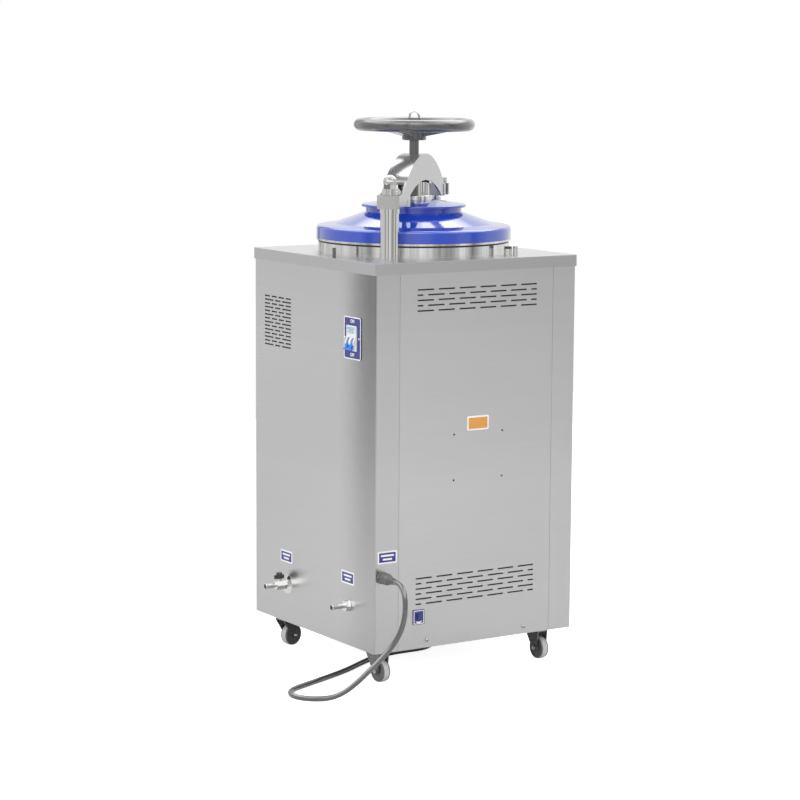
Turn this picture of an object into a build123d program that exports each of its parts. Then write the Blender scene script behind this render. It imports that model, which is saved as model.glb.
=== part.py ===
from build123d import *
import os
from math import cos, pi, radians, sin, tan

os.makedirs("parts", exist_ok=True)

# Vertical autoclave, millimetres. +Z up, floor at z = 0, the plain front faces -Y and the
# removable service panel faces +Y. Hose tails, main switch and side vent are on the +X side.
# The origin is on the floor under the middle of the whole object without its mains lead.

# Cabinet
cabinet_width = 540.0
cabinet_depth = 535.0
cabinet_height = 870.0
sheet = 1.2
bend_radius = 4.0
corner_strip = 63.0
panel_gap = 0.5
cap_lip = 26.0
cap_overhang = 2.5
cap_sheet = 1.5
base_plate = 3.0
base_rim = 30.0
castor_height = 79.0

# Pressure vessel
chamber_radius = 200.0
chamber_wall = 3.0
chamber_depth = 600.0
chamber_dish = 45.0
flange_radius = 221.0
flange_height = 23.4
cap_hole_clearance = 3.0
gasket_height = 4.0
gasket_width = 17.0
seat_gap = 0.3

# Lid
lid_radius = 225.0
lid_plate_height = 4.5
lid_dome_rise = 34.0
lid_dome_wall = 4.0
lid_skirt_height = 28.0
lid_shoulder_radius = 184.0
lid_shoulder_rise = 5.5
lid_cone_radius = 113.0
lid_cone_rise = 25.5
lid_neck_radius = 111.0
lid_neck_height = 12.5
lid_crown_radius = 120.8
lid_crown_edge = 5.5
lid_crown_rise = 11.0
lid_skirt_round = 7.0
lid_crown_round = 2.0
lid_cover_wall = 3.0
collar_radius = 41.5
collar_height = 9.5
guide_rod_radius = 14.5
guide_rod_reach = 107.0
guide_rod_height = 54.0
guide_rod_round = 9.0

# Posts and bridge
post_circle = 253.0
post_angle = 45.0
post_radius = 21.0
post_collar_radius = 22.5
post_collar_height = 10.0
hinge_post_height = 113.0
pin_radius = 12.0
latch_shoulder_height = 95.0
latch_stud_radius = 12.5
latch_neck_radius = 9.0
latch_cap_radius = 15.0
latch_cap_height = 10.0
latch_clearance = 5.5
latch_cap_clearance = 8.0
pin_clearance = 0.1
head_width = 51.0
head_height = 30.0
head_chamfer = 8.0
washer_radius = 18.0
washer_height = 5.5
washer_gap = 2.5
washer_neck = 14.0
nut_width = 28.0
nut_height = 10.0
post_eye_radius = 15.5
post_eye_rod = 3.8
post_eye_seat = 5.3
wheel_eye_radius = 13.5
wheel_eye_rod = 2.6
arm_width = 50.0
arm_plate = 4.0
arm_crown = 112.0
arm_half_span = 225.0
arm_end_rise = 31.5
web_half_span = 195.0
arch_half_span = 205.0
arch_rise = 47.5
arm_lift = 3.5
latch_head_length = 60.0
latch_head_width = 54.0
latch_head_height = 27.0
latch_slot = 30.0

# Spindle and handwheel
spindle_radius = 11.0
spindle_clearance = 0.1
spindle_nut_radius = 20.0
spindle_nut_length = 32.0
wheel_radius = 140.0
rim_radius = 14.0
wheel_height = 291.4
hub_radius = 28.0
hub_bottom = 256.0
hub_height = 40.0
spoke_count = 3
spoke_width = 34.0
spoke_plate = 8.0
first_spoke = 20.0
wheel_eye_height = 324.0
wheel_eye_nut_height = 11.0
spoke_round = 3.0

# Small fittings on the cap
lock_pin_inset = 12.3
lock_pin_y = 70.9
lock_pin_radius = 4.0
lock_pin_height = 21.5
vent_stub_place = (-114.5, 218.0)
vent_stub_radius = 9.0
vent_stub_height = 21.0
vent_cap_height = 5.0
guard_stud_place = (-132.6, 222.2)
guard_stud_radius = 5.5

# Main switch on the +X side
switch_inset = 94.3
switch_drop = 171.5
switch_plate_width = 71.0
switch_plate_height = 95.0
plate_thickness = 1.5
plate_corner = 4.0
breaker_width = 40.0
breaker_height = 56.0
breaker_depth = 4.0
breaker_round = 1.0
breaker_nose_height = 20.0
breaker_nose_rise = 4.0
breaker_poles = 2
pole_pitch = 18.0
lever_width = 8.0
lever_length = 16.5
lever_bar = 32.0
lever_bar_radius = 2.4
lever_pivot_radius = 3.5
lever_drop = 9.0
lever_rest = 62.0
lever_gap = 0.5

# Hose tails on the +X side
tail_height = 91.0
tail_radius = 5.5
tail_bore = 4.0
tail_length = 24.0
drain_inset = 149.5
drain_reach = 58.0
drain_block = 20.0
drain_block_length = 31.0
drain_stem_place = 21.0
drain_rosette_radius = 23.0
drain_rosette_thickness = 4.0
stem_radius = 3.0
stem_height = 9.0
stem_boss_radius = 6.5
stem_boss_height = 3.0
valve_handle_length = 26.0
valve_handle_width = 9.0
valve_handle_height = 8.0
valve_handle_hub = 7.0
valve_handle_rise = 14.0
valve_handle_lift = 5.0
air_inset = 112.0
air_reach = 43.0
air_hex = 23.0
air_hex_length = 8.0
air_base_radius = 14.0

# Service panel on the back
back_hole_spacing_x = 131.0
back_hole_spacing_z = 104.0
back_hole_radius = 2.25
back_hole_x = -4.5
back_hole_z = 427.0
reset_inset = 54.2
reset_z = 72.1
reset_plate_width = 30.6
reset_plate_height = 33.8
reset_button_radius = 6.0
reset_button_height = 7.0
reset_collar_radius = 8.0
reset_collar_height = 2.5
reset_travel = 2.0

# Vents: rows of slots, each second row shifted by half a slot
slot_height = 3.4
side_vent_width = 120.8
side_vent_pitch = 8.7
side_vent_rows = 14
side_vent_slots = 4
side_vent_gap = 8.1
side_vent_inset = 107.2
side_vent_top = 761.0
back_vent_width = 322.2
back_vent_slots = 6
back_vent_gap = 12.8
back_vent_pitch = 11.7
upper_vent_rows = 5
upper_vent_top = 808.3
lower_vent_rows = 6
lower_vent_top = 159.9

# Castors
castor_inset_x = 50.0
castor_inset_y = 66.0
castor_plate_size = 70.0
castor_plate_thickness = 2.5
castor_head_radius = 31.0
castor_head_height = 8.0
castor_head_taper = 4.0
castor_trail = 12.0
wheel_size = 26.0
tread_edge = 3.0
wheel_width = 20.0
axle_radius = 3.5
axle_clearance = 0.1
fork_gap = 1.5
fork_cheek = 2.5
fork_roof = 3.0
fork_top = 52.0
hub_cap_radius = 6.0
hub_cap_height = 2.0
castor_headings = {"front_right": 194.0, "back_right": 94.0, "back_left": 90.0, "front_left": 160.0}

# Mains lead
gland_inset = 18.5
gland_z = 173.0
gland_nut_width = 25.0
gland_nut_length = 9.0
gland_body_radius = 13.0
gland_length = 40.0
gland_dome_radius = 9.0
cord_radius = 6.0
coil_middle_radius = 66.0
coil_section_width = 24.0
coil_section_height = 24.0
coil_place = (-40.0, -60.0)
plug_radius = 19.0
plug_length = 40.0
plug_seat = 1.0

# Places worked out from the sizes above
axis_x = -(drain_reach - cap_overhang) / 2
foot = castor_height
cap_top = foot + cabinet_height
right_face = axis_x + cabinet_width / 2
strip_edge = cabinet_width / 2 - corner_strip
back_face = cabinet_depth / 2
switch_y = back_face - switch_inset
switch_z = cabinet_height - switch_drop
side_vent_y = side_vent_inset - back_face
drain_y = drain_inset - back_face
air_y = back_face - air_inset
reset_x = strip_edge - reset_inset
gland_x = cabinet_width / 2 - gland_inset
lock_pin_x = cabinet_width / 2 - lock_pin_inset
post_dx = post_circle * cos(radians(post_angle))
post_dy = post_circle * sin(radians(post_angle))
flange_top = cap_top + flange_height
lid_bottom = flange_top + gasket_height + seat_gap
cover_bottom = lid_bottom + lid_plate_height
skirt_top = cover_bottom + lid_skirt_height
shoulder_z = skirt_top + lid_shoulder_rise
cone_z = shoulder_z + lid_cone_rise
neck_z = cone_z + lid_neck_height
crown_edge_z = neck_z + lid_crown_edge
crown_z = crown_edge_z + lid_crown_rise
head_bottom = cap_top + hinge_post_height
arm_bottom = head_bottom + arm_lift
arm_top = head_bottom + arm_crown
wheel_z = cap_top + wheel_height
hub_z = cap_top + hub_bottom
along = Vector(cos(radians(post_angle)), sin(radians(post_angle)), 0)
across = Vector(sin(radians(post_angle)), -cos(radians(post_angle)), 0)
turned = Plane(origin=(axis_x, 0, 0), x_dir=(1, 0, 0), z_dir=(0, -1, 0))
vessel_axis = Axis((axis_x, 0, 0), (0, 0, 1))
arm_side = Plane(origin=(axis_x, 0, 0), x_dir=along, z_dir=across)


def finish(builder, label):
    builder.part.label = label
    export_step(builder.part, f"parts/{label}.step")


def plan(height):
    return Plane(origin=(axis_x, 0, height))


def right_side(y, z):
    return Plane(origin=(right_face, y, foot + z), x_dir=(0, 1, 0), z_dir=(1, 0, 0))


def back_side(x, z):
    return Plane(origin=(axis_x + x, back_face, foot + z), x_dir=(-1, 0, 0), z_dir=(0, 1, 0))


def dish_point(radius, rise, top):
    """A point halfway out on the arc that is level at the axis and falls by rise at the radius."""
    curve = (radius**2 + rise**2) / (2 * abs(rise))
    drop = curve - (curve**2 - (radius / 2) ** 2) ** 0.5
    return radius / 2, top - drop * rise / abs(rise)


def eye_ring(x, y, z, outer, rod):
    """A standing ring whose hole faces along the bridge arm."""
    with BuildPart() as ring:
        with BuildSketch(Plane(origin=(x, y, z), x_dir=along, z_dir=across)):
            with Locations((0, outer - rod)):
                Circle(rod)
        revolve(axis=Axis((x, y, z), along))
    return ring.part


def rim_edges(builder, radius, height):
    """The circular edges about the vessel's axis with that radius and height."""
    return [
        edge
        for edge in builder.edges().filter_by(GeomType.CIRCLE)
        if abs(edge.radius - radius) < 0.01 and abs(edge.arc_center.Z - height) < 0.01
    ]


def slot_rows(width, slots, gap, rows, pitch):
    """Places and widths of the slots, counted down from the middle of the top row."""
    whole = (width - (slots - 1) * gap) / slots
    found = []
    for row in range(rows):
        if row % 2 == 0:
            widths = [whole] * slots
        else:
            inner = slots - 1 if slots > 4 else slots - 3
            end = (width - inner * whole - (inner + 1) * gap) / 2
            widths = [end] + [whole] * inner + [end]
        start = -width / 2
        for w in widths:
            found.append((start + w / 2, -row * pitch, w))
            start += w + gap
    return found


# Cabinet panels: a bent sheet round each side, with a flat panel let in at the back and front
for side, name in ((1, "right_side_panel"), (-1, "left_side_panel")):
    with BuildPart() as side_panel:
        with BuildSketch(plan(foot)):
            RectangleRounded(cabinet_width, cabinet_depth, bend_radius)
            RectangleRounded(
                cabinet_width - 2 * sheet, cabinet_depth - 2 * sheet, bend_radius - sheet, mode=Mode.SUBTRACT
            )
            with Locations((-side * corner_strip, 0)):
                Rectangle(cabinet_width, 2 * cabinet_depth, mode=Mode.SUBTRACT)
        extrude(amount=cabinet_height - cap_sheet)
        if side == 1:
            with BuildSketch(right_side(side_vent_y, side_vent_top)):
                for u, v, w in slot_rows(
                    side_vent_width, side_vent_slots, side_vent_gap, side_vent_rows, side_vent_pitch
                ):
                    with Locations((u, v)):
                        Rectangle(w, slot_height)
            extrude(amount=-2 * sheet, mode=Mode.SUBTRACT)
    finish(side_panel, name)

panel_width = cabinet_width - 2 * corner_strip - 2 * panel_gap
with BuildPart() as back_panel:
    with BuildSketch(back_side(0, 0)):
        Rectangle(panel_width, cabinet_height - cap_sheet, align=(Align.CENTER, Align.MIN))
        for top, rows in ((upper_vent_top, upper_vent_rows), (lower_vent_top, lower_vent_rows)):
            for u, v, w in slot_rows(
                back_vent_width, back_vent_slots, back_vent_gap, rows, back_vent_pitch
            ):
                with Locations((u, top + v)):
                    Rectangle(w, slot_height, mode=Mode.SUBTRACT)
        with Locations((-back_hole_x, back_hole_z)):
            with GridLocations(back_hole_spacing_x, back_hole_spacing_z, 2, 2):
                Circle(back_hole_radius, mode=Mode.SUBTRACT)
        with Locations((-reset_x, reset_z)):
            Circle(reset_button_radius + pin_clearance, mode=Mode.SUBTRACT)
    extrude(amount=-sheet)
finish(back_panel, "back_panel")

with BuildPart() as front_panel:
    with BuildSketch(Plane(origin=(axis_x, -back_face, foot), x_dir=(1, 0, 0), z_dir=(0, -1, 0))):
        Rectangle(panel_width, cabinet_height - cap_sheet, align=(Align.CENTER, Align.MIN))
    extrude(amount=-sheet)
finish(front_panel, "front_panel")

with BuildPart() as base_tray:
    with BuildSketch(plan(foot)):
        RectangleRounded(cabinet_width - 2 * sheet, cabinet_depth - 2 * sheet, bend_radius - sheet)
    extrude(amount=base_rim)
    with BuildSketch(plan(foot + base_plate)):
        RectangleRounded(
            cabinet_width - 2 * sheet - 2 * base_plate, cabinet_depth - 2 * sheet - 2 * base_plate, bend_radius
        )
    extrude(amount=base_rim, mode=Mode.SUBTRACT)
finish(base_tray, "base_tray")

cap_hole = chamber_radius + chamber_wall + cap_hole_clearance
with BuildPart() as top_cover:
    with BuildSketch(plan(cap_top - cap_lip)):
        RectangleRounded(cabinet_width + 2 * cap_overhang, cabinet_depth + 2 * cap_overhang, bend_radius)
    extrude(amount=cap_lip)
    with BuildSketch(plan(cap_top - cap_lip)):
        RectangleRounded(cabinet_width, cabinet_depth, bend_radius)
    extrude(amount=cap_lip - cap_sheet, mode=Mode.SUBTRACT)
    with BuildSketch(plan(cap_top)):
        Circle(cap_hole)
    extrude(amount=-cap_lip, mode=Mode.SUBTRACT)
finish(top_cover, "top_cover")

# Pressure vessel hung from its flange
chamber_floor = flange_top - chamber_depth
chamber_outer = chamber_radius + chamber_wall
with BuildPart() as chamber:
    with BuildSketch(turned):
        with BuildLine():
            wall_foot = chamber_floor + chamber_dish
            Line((chamber_radius, cap_top), (chamber_radius, wall_foot))
            ThreePointArc(
                (chamber_radius, wall_foot),
                dish_point(chamber_radius, -chamber_dish, chamber_floor),
                (0, chamber_floor),
            )
            Line((0, chamber_floor), (0, chamber_floor - chamber_wall))
            ThreePointArc(
                (0, chamber_floor - chamber_wall),
                dish_point(chamber_outer, -chamber_dish, chamber_floor - chamber_wall),
                (chamber_outer, wall_foot - chamber_wall),
            )
            Line((chamber_outer, wall_foot - chamber_wall), (chamber_outer, cap_top))
            Line((chamber_outer, cap_top), (chamber_radius, cap_top))
        make_face()
    revolve(axis=vessel_axis)
finish(chamber, "chamber")

with BuildPart() as flange_ring:
    with BuildSketch(plan(cap_top)):
        Circle(flange_radius)
        Circle(chamber_radius, mode=Mode.SUBTRACT)
    extrude(amount=flange_height)
finish(flange_ring, "flange_ring")

with BuildPart() as gasket:
    with BuildSketch(plan(flange_top)):
        Circle(flange_radius - 1)
        Circle(flange_radius - 1 - gasket_width, mode=Mode.SUBTRACT)
    extrude(amount=gasket_height)
finish(gasket, "gasket")

# Lid: a dished steel plate under a painted cover
dome_inner = chamber_radius - lid_dome_wall
dome_top = cover_bottom + lid_dome_rise
with BuildPart() as lid_plate:
    with BuildSketch(turned):
        with BuildLine():
            Line((dome_inner, lid_bottom), (lid_radius, lid_bottom))
            Line((lid_radius, lid_bottom), (lid_radius, cover_bottom))
            Line((lid_radius, cover_bottom), (chamber_radius, cover_bottom))
            ThreePointArc(
                (chamber_radius, cover_bottom),
                dish_point(chamber_radius, lid_dome_rise, dome_top),
                (0, dome_top),
            )
            Line((0, dome_top), (0, dome_top - lid_dome_wall))
            ThreePointArc(
                (0, dome_top - lid_dome_wall),
                dish_point(dome_inner, dome_top - lid_dome_wall - lid_bottom, dome_top - lid_dome_wall),
                (dome_inner, lid_bottom),
            )
        make_face()
    revolve(axis=vessel_axis)
finish(lid_plate, "lid_plate")

with BuildPart() as lid_cover:
    with BuildSketch(turned):
        with BuildLine():
            Polyline(
                (lid_radius, cover_bottom),
                (lid_radius, skirt_top),
                (lid_shoulder_radius, shoulder_z),
                (lid_cone_radius, cone_z),
                (lid_neck_radius, cone_z + 1),
                (lid_neck_radius, neck_z),
                (lid_crown_radius, neck_z),
                (lid_crown_radius, crown_edge_z),
                (collar_radius, crown_z),
                (0, crown_z),
                (0, crown_z - lid_cover_wall),
                (lid_neck_radius - lid_cover_wall, crown_edge_z - lid_cover_wall),
                (lid_neck_radius - lid_cover_wall, cone_z - lid_cover_wall),
                (lid_shoulder_radius, shoulder_z - lid_cover_wall),
                (lid_radius - lid_cover_wall, skirt_top - lid_cover_wall),
                (lid_radius - lid_cover_wall, cover_bottom),
                close=True,
            )
        make_face()
    revolve(axis=vessel_axis)
    fillet(rim_edges(lid_cover, lid_radius, skirt_top), lid_skirt_round)
    fillet(rim_edges(lid_cover, lid_crown_radius, crown_edge_z), lid_crown_round)
finish(lid_cover, "lid_cover")

with BuildPart() as lid_collar:
    with BuildSketch(plan(crown_z)):
        Circle(collar_radius)
        Circle(spindle_radius, mode=Mode.SUBTRACT)
    extrude(amount=collar_height)
    fillet(lid_collar.edges().filter_by(GeomType.CIRCLE).sort_by(SortBy.RADIUS)[-1:], 1.5)
finish(lid_collar, "lid_collar")

rod_foot = crown_edge_z
with BuildPart() as guide_rods:
    for end in (-1, 1):
        with BuildSketch(Plane(origin=Vector(axis_x, 0, rod_foot) + along * end * guide_rod_reach)):
            Circle(guide_rod_radius)
        extrude(amount=guide_rod_height)
        fillet(guide_rods.edges().group_by(Axis.Z)[-1], guide_rod_round)
    with BuildSketch(turned):
        with BuildLine():
            Polyline(
                (collar_radius, rod_foot - 1),
                (lid_crown_radius + 1, rod_foot - 1),
                (lid_crown_radius + 1, crown_edge_z),
                (lid_crown_radius, crown_edge_z),
                (collar_radius, crown_z),
                close=True,
            )
        make_face()
    revolve(axis=vessel_axis, mode=Mode.SUBTRACT)
finish(guide_rods, "guide_rods")

# Posts
with BuildPart() as hinge_post:
    with BuildSketch(Plane(origin=(axis_x + post_dx, post_dy, cap_top))):
        Circle(post_radius)
    extrude(amount=hinge_post_height - seat_gap)
    with BuildSketch(Plane(origin=(axis_x + post_dx, post_dy, head_bottom - seat_gap))):
        Circle(post_collar_radius)
    extrude(amount=-post_collar_height)
    with BuildSketch(Plane(origin=(axis_x + post_dx, post_dy, head_bottom - seat_gap))):
        Circle(pin_radius)
    extrude(amount=head_height + 2 * seat_gap)
finish(hinge_post, "hinge_post")

nut_foot = head_bottom + head_height + seat_gap
upper_washer = nut_foot + washer_height + washer_gap
nut_bottom = upper_washer + washer_height
post_eye_z = nut_bottom + nut_height + post_eye_seat
post_eye = eye_ring(axis_x + post_dx, post_dy, post_eye_z, post_eye_radius, post_eye_rod)
with BuildPart() as post_nut:
    for foot_z, radius, height in (
        (nut_foot, washer_radius, washer_height),
        (nut_foot, washer_neck, washer_height + washer_gap + washer_height),
        (upper_washer, washer_radius - 1, washer_height),
    ):
        with BuildSketch(Plane(origin=(axis_x + post_dx, post_dy, foot_z))):
            Circle(radius)
        extrude(amount=height)
    with BuildSketch(Plane(origin=(axis_x + post_dx, post_dy, nut_bottom))):
        RegularPolygon(nut_width / 2, 6, major_radius=False)
    extrude(amount=nut_height)
    add(post_eye)
finish(post_nut, "post_nut")

# Latch post: a shouldered stud with a turned neck, over which the arm's open slot swings, and a cap
stud_top = arm_bottom - latch_clearance
cap_foot = arm_bottom + latch_head_height + latch_cap_clearance
with BuildPart() as latch_post:
    for foot_z, radius, height in (
        (cap_top, post_radius, latch_shoulder_height),
        (cap_top, latch_stud_radius, stud_top - cap_top),
        (cap_top, latch_neck_radius, cap_foot - cap_top),
        (cap_foot, latch_cap_radius, latch_cap_height),
    ):
        with BuildSketch(Plane(origin=(axis_x - post_dx, -post_dy, foot_z))):
            Circle(radius)
        extrude(amount=height)
finish(latch_post, "latch_post")

# Bridge arm: a bent channel with a clamp head at the hinge post and a slotted head at the latch post
latch_side = latch_head_length / 2
with BuildPart() as bridge_arm:
    with BuildSketch(arm_side):
        with BuildLine():
            outer = ThreePointArc(
                (arm_half_span, arm_bottom + arm_end_rise), (0, arm_top), (-arm_half_span, arm_bottom + arm_end_rise)
            )
            Polyline(
                outer @ 1,
                (-post_circle + latch_side / 6, arm_bottom + latch_head_height),
                (-post_circle + latch_side / 6, arm_bottom),
                (-arch_half_span, arm_bottom),
            )
            ThreePointArc(
                (-arch_half_span, arm_bottom), (0, arm_bottom + arch_rise), (arch_half_span, arm_bottom)
            )
            Polyline(
                (arch_half_span, arm_bottom),
                (post_circle, arm_bottom),
                (post_circle, head_bottom + head_height),
                outer @ 0,
            )
        make_face()
    extrude(amount=arm_width / 2, both=True)
    with BuildSketch(arm_side):
        with BuildLine():
            under = ThreePointArc(
                (arm_half_span - arm_plate, arm_bottom + arm_end_rise - arm_plate),
                (0, arm_top - arm_plate),
                (-arm_half_span + arm_plate, arm_bottom + arm_end_rise - arm_plate),
            )
            Polyline(
                under @ 1,
                (-arm_half_span + arm_plate, arm_bottom - 1),
                (arm_half_span - arm_plate, arm_bottom - 1),
                under @ 0,
            )
        make_face()
        for end in (-1, 1):
            with Locations((end * web_half_span, arm_bottom - 1)):
                Rectangle(arm_crown, arm_crown, align=(Align.MIN if end > 0 else Align.MAX, Align.MIN))
    extrude(amount=arm_width / 2 - arm_plate, both=True, mode=Mode.SUBTRACT)
    with BuildSketch(Plane(origin=(axis_x + post_dx, post_dy, head_bottom), x_dir=along, z_dir=(0, 0, 1))):
        Rectangle(head_width, head_width)
        chamfer(vertices(), head_chamfer)
    extrude(amount=head_height)
    with BuildSketch(Plane(origin=(axis_x - post_dx, -post_dy, arm_bottom), x_dir=along, z_dir=(0, 0, 1))):
        Rectangle(latch_head_length, latch_head_width)
    extrude(amount=latch_head_height)
    with BuildSketch(Plane(origin=(axis_x - post_dx, -post_dy, arm_bottom), x_dir=-across, z_dir=(0, 0, 1))):
        with Locations((-latch_slot / 2, 0)):
            Rectangle(latch_head_width, latch_slot, align=(Align.MIN, Align.CENTER))
    extrude(amount=latch_head_height, mode=Mode.SUBTRACT)
    with BuildSketch(plan(arm_top - arm_plate / 2)):
        Circle(spindle_nut_radius)
    extrude(amount=-spindle_nut_length)
    with BuildSketch(plan(arm_top + 1)):
        Circle(spindle_radius + spindle_clearance)
    extrude(amount=-3 * spindle_nut_length, mode=Mode.SUBTRACT)
    with BuildSketch(Plane(origin=(axis_x + post_dx, post_dy, head_bottom - 1))):
        Circle(pin_radius + pin_clearance)
    extrude(amount=head_height + 2 + arm_end_rise, mode=Mode.SUBTRACT)
finish(bridge_arm, "bridge_arm")

# Spindle and handwheel
with BuildPart() as spindle:
    with BuildSketch(plan(crown_z)):
        Circle(spindle_radius)
    extrude(amount=hub_z - crown_z)
finish(spindle, "spindle")

rim_centre = wheel_radius - rim_radius
with BuildPart() as spoke:
    with BuildSketch(turned):
        with BuildLine():
            Polyline(
                (hub_radius - 6, hub_z + spoke_plate),
                (rim_centre, wheel_z - rim_radius / 2),
                (rim_centre, wheel_z + rim_radius / 4),
                (hub_radius - 6, hub_z + 2.6 * spoke_plate),
                close=True,
            )
        make_face()
    extrude(amount=spoke_width / 2, both=True)
    fillet(spoke.edges().filter_by(Axis.Y, reverse=True), spoke_round)

with BuildPart() as handwheel:
    with BuildSketch(turned):
        with Locations((rim_centre, wheel_z)):
            Circle(rim_radius)
    revolve(axis=vessel_axis)
    with BuildSketch(turned):
        with BuildLine():
            Polyline(
                (0, hub_z),
                (hub_radius - 1.5, hub_z),
                (hub_radius, hub_z + 1.5),
                (hub_radius, hub_z + hub_height - 6),
                (hub_radius - 8, hub_z + hub_height),
                (0, hub_z + hub_height),
                close=True,
            )
        make_face()
    revolve(axis=vessel_axis)
    for number in range(spoke_count):
        add(spoke.part.rotate(vessel_axis, first_spoke + number * 360 / spoke_count))
finish(handwheel, "handwheel")

eye_centre = cap_top + wheel_eye_height - wheel_eye_radius
top_ring = eye_ring(axis_x, 0, eye_centre, wheel_eye_radius, wheel_eye_rod)
with BuildPart() as wheel_eye:
    with BuildSketch(plan(hub_z + hub_height)):
        RegularPolygon(nut_width / 2, 6, major_radius=False)
    extrude(amount=wheel_eye_nut_height)
    add(top_ring)
finish(wheel_eye, "wheel_eye")

# Small fittings on the cap
with BuildPart() as lock_pin:
    with BuildSketch(Plane(origin=(axis_x + lock_pin_x, lock_pin_y, cap_top))):
        Circle(lock_pin_radius)
    extrude(amount=lock_pin_height)
finish(lock_pin, "lock_pin")

with BuildPart() as vent_stub:
    with BuildSketch(Plane(origin=(axis_x + vent_stub_place[0], vent_stub_place[1], cap_top))):
        Circle(vent_stub_radius)
    extrude(amount=vent_stub_height - vent_cap_height)
finish(vent_stub, "vent_stub")

with BuildPart() as vent_cap:
    with BuildSketch(
        Plane(origin=(axis_x + vent_stub_place[0], vent_stub_place[1], cap_top + vent_stub_height))
    ):
        Circle(vent_stub_radius - 0.5)
    extrude(amount=-vent_cap_height)
finish(vent_cap, "vent_cap")

with BuildPart() as guard_stud:
    with BuildSketch(Plane(origin=(axis_x + guard_stud_place[0], guard_stud_place[1], cap_top))):
        Circle(guard_stud_radius)
    extrude(amount=vent_stub_height)
finish(guard_stud, "guard_stud")

# Main switch
with BuildPart() as switch_plate:
    with BuildSketch(right_side(switch_y, switch_z)):
        RectangleRounded(switch_plate_width, switch_plate_height, plate_corner)
    extrude(amount=plate_thickness)
finish(switch_plate, "switch_plate")

breaker_face = plate_thickness + breaker_depth
lever_centre = plate_thickness + lever_pivot_radius + seat_gap
lever_z = switch_z - lever_drop
lever_pin_radius = lever_pivot_radius / 2
lever_origin = (right_face + lever_centre, switch_y, foot + lever_z)
pole_places = [pole_pitch * (number - (breaker_poles - 1) / 2) for number in range(breaker_poles)]
with BuildPart() as breaker_body:
    with BuildSketch(right_side(switch_y, switch_z).offset(plate_thickness)):
        Rectangle(breaker_width, breaker_height)
    extrude(amount=breaker_depth)
    fillet(breaker_body.edges().group_by(Axis.X)[-1], breaker_round)
    with BuildSketch(Plane(origin=(right_face, switch_y, foot + lever_z), x_dir=(1, 0, 0), z_dir=(0, -1, 0))):
        with BuildLine():
            ThreePointArc(
                (breaker_face, breaker_nose_height / 2),
                (breaker_face + breaker_nose_rise, 0),
                (breaker_face, -breaker_nose_height / 2),
            )
            Line((breaker_face, -breaker_nose_height / 2), (breaker_face, breaker_nose_height / 2))
        make_face()
    extrude(amount=breaker_width / 2 - breaker_round, both=True)
    with BuildSketch(right_side(switch_y, lever_z).offset(plate_thickness)):
        for place in pole_places:
            with Locations((place, 0)):
                Rectangle(lever_width + 2 * lever_gap, breaker_nose_height)
    extrude(amount=breaker_nose_height, mode=Mode.SUBTRACT)
    with BuildSketch(Plane(origin=lever_origin, x_dir=(1, 0, 0), z_dir=(0, 1, 0))):
        Circle(lever_pin_radius)
    extrude(amount=breaker_width / 2 - breaker_round, both=True)
finish(breaker_body, "breaker_body")

lever_direction = Vector(cos(radians(lever_rest)), 0, -sin(radians(lever_rest)))
with BuildPart() as breaker_lever:
    for place in pole_places:
        start = Vector(*lever_origin) + Vector(0, place, 0)
        with BuildSketch(Plane(origin=start, x_dir=lever_direction, z_dir=(0, 1, 0))):
            Circle(lever_pivot_radius)
            with Locations((lever_length, 0)):
                Circle(lever_bar_radius)
            make_hull()
        extrude(amount=lever_width / 2, both=True)
    with BuildSketch(Plane(origin=lever_origin, x_dir=lever_direction, z_dir=(0, 1, 0))):
        with Locations((lever_length, 0)):
            Circle(lever_bar_radius)
    extrude(amount=lever_bar / 2, both=True)
    with BuildSketch(Plane(origin=lever_origin, x_dir=lever_direction, z_dir=(0, 1, 0))):
        Circle(lever_pin_radius + pin_clearance)
    extrude(amount=breaker_width, both=True, mode=Mode.SUBTRACT)
finish(breaker_lever, "breaker_lever")

# Hose tails
stem_place = Vector(right_face + drain_stem_place, drain_y, foot + tail_height)
with BuildPart() as drain_valve:
    with BuildSketch(right_side(drain_y, tail_height)):
        Circle(drain_rosette_radius)
    with BuildSketch(right_side(drain_y, tail_height).offset(drain_rosette_thickness)):
        Circle(drain_block / 2)
    loft()
    with BuildSketch(right_side(drain_y, tail_height)):
        RegularPolygon(drain_block / 2, 6, major_radius=False)
    extrude(amount=drain_block_length)
    with BuildSketch(right_side(drain_y, tail_height)):
        Circle(tail_radius)
    extrude(amount=drain_reach)
    with BuildSketch(Plane(origin=stem_place)):
        Circle(stem_boss_radius)
    extrude(amount=drain_block / 2 + stem_boss_height)
    with BuildSketch(Plane(origin=stem_place)):
        Circle(stem_radius)
    extrude(amount=drain_block / 2 + stem_height)
    with BuildSketch(right_side(drain_y, tail_height).offset(drain_reach)):
        Circle(tail_bore)
    extrude(amount=-tail_length, mode=Mode.SUBTRACT)
finish(drain_valve, "drain_valve")

handle_plane = Plane(origin=stem_place + Vector(0, 0, drain_block / 2 + valve_handle_lift))
with BuildPart() as valve_handle:
    with BuildSketch(handle_plane):
        SlotOverall(valve_handle_length, valve_handle_width)
    extrude(amount=valve_handle_height)
    with BuildSketch(handle_plane):
        Circle(valve_handle_hub)
    extrude(amount=valve_handle_rise)
    fillet(valve_handle.edges().group_by(Axis.Z)[-1], 1.5)
    with BuildSketch(handle_plane):
        Circle(stem_radius + pin_clearance)
    extrude(amount=stem_height - valve_handle_lift + pin_clearance, mode=Mode.SUBTRACT)
finish(valve_handle, "valve_handle")

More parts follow.
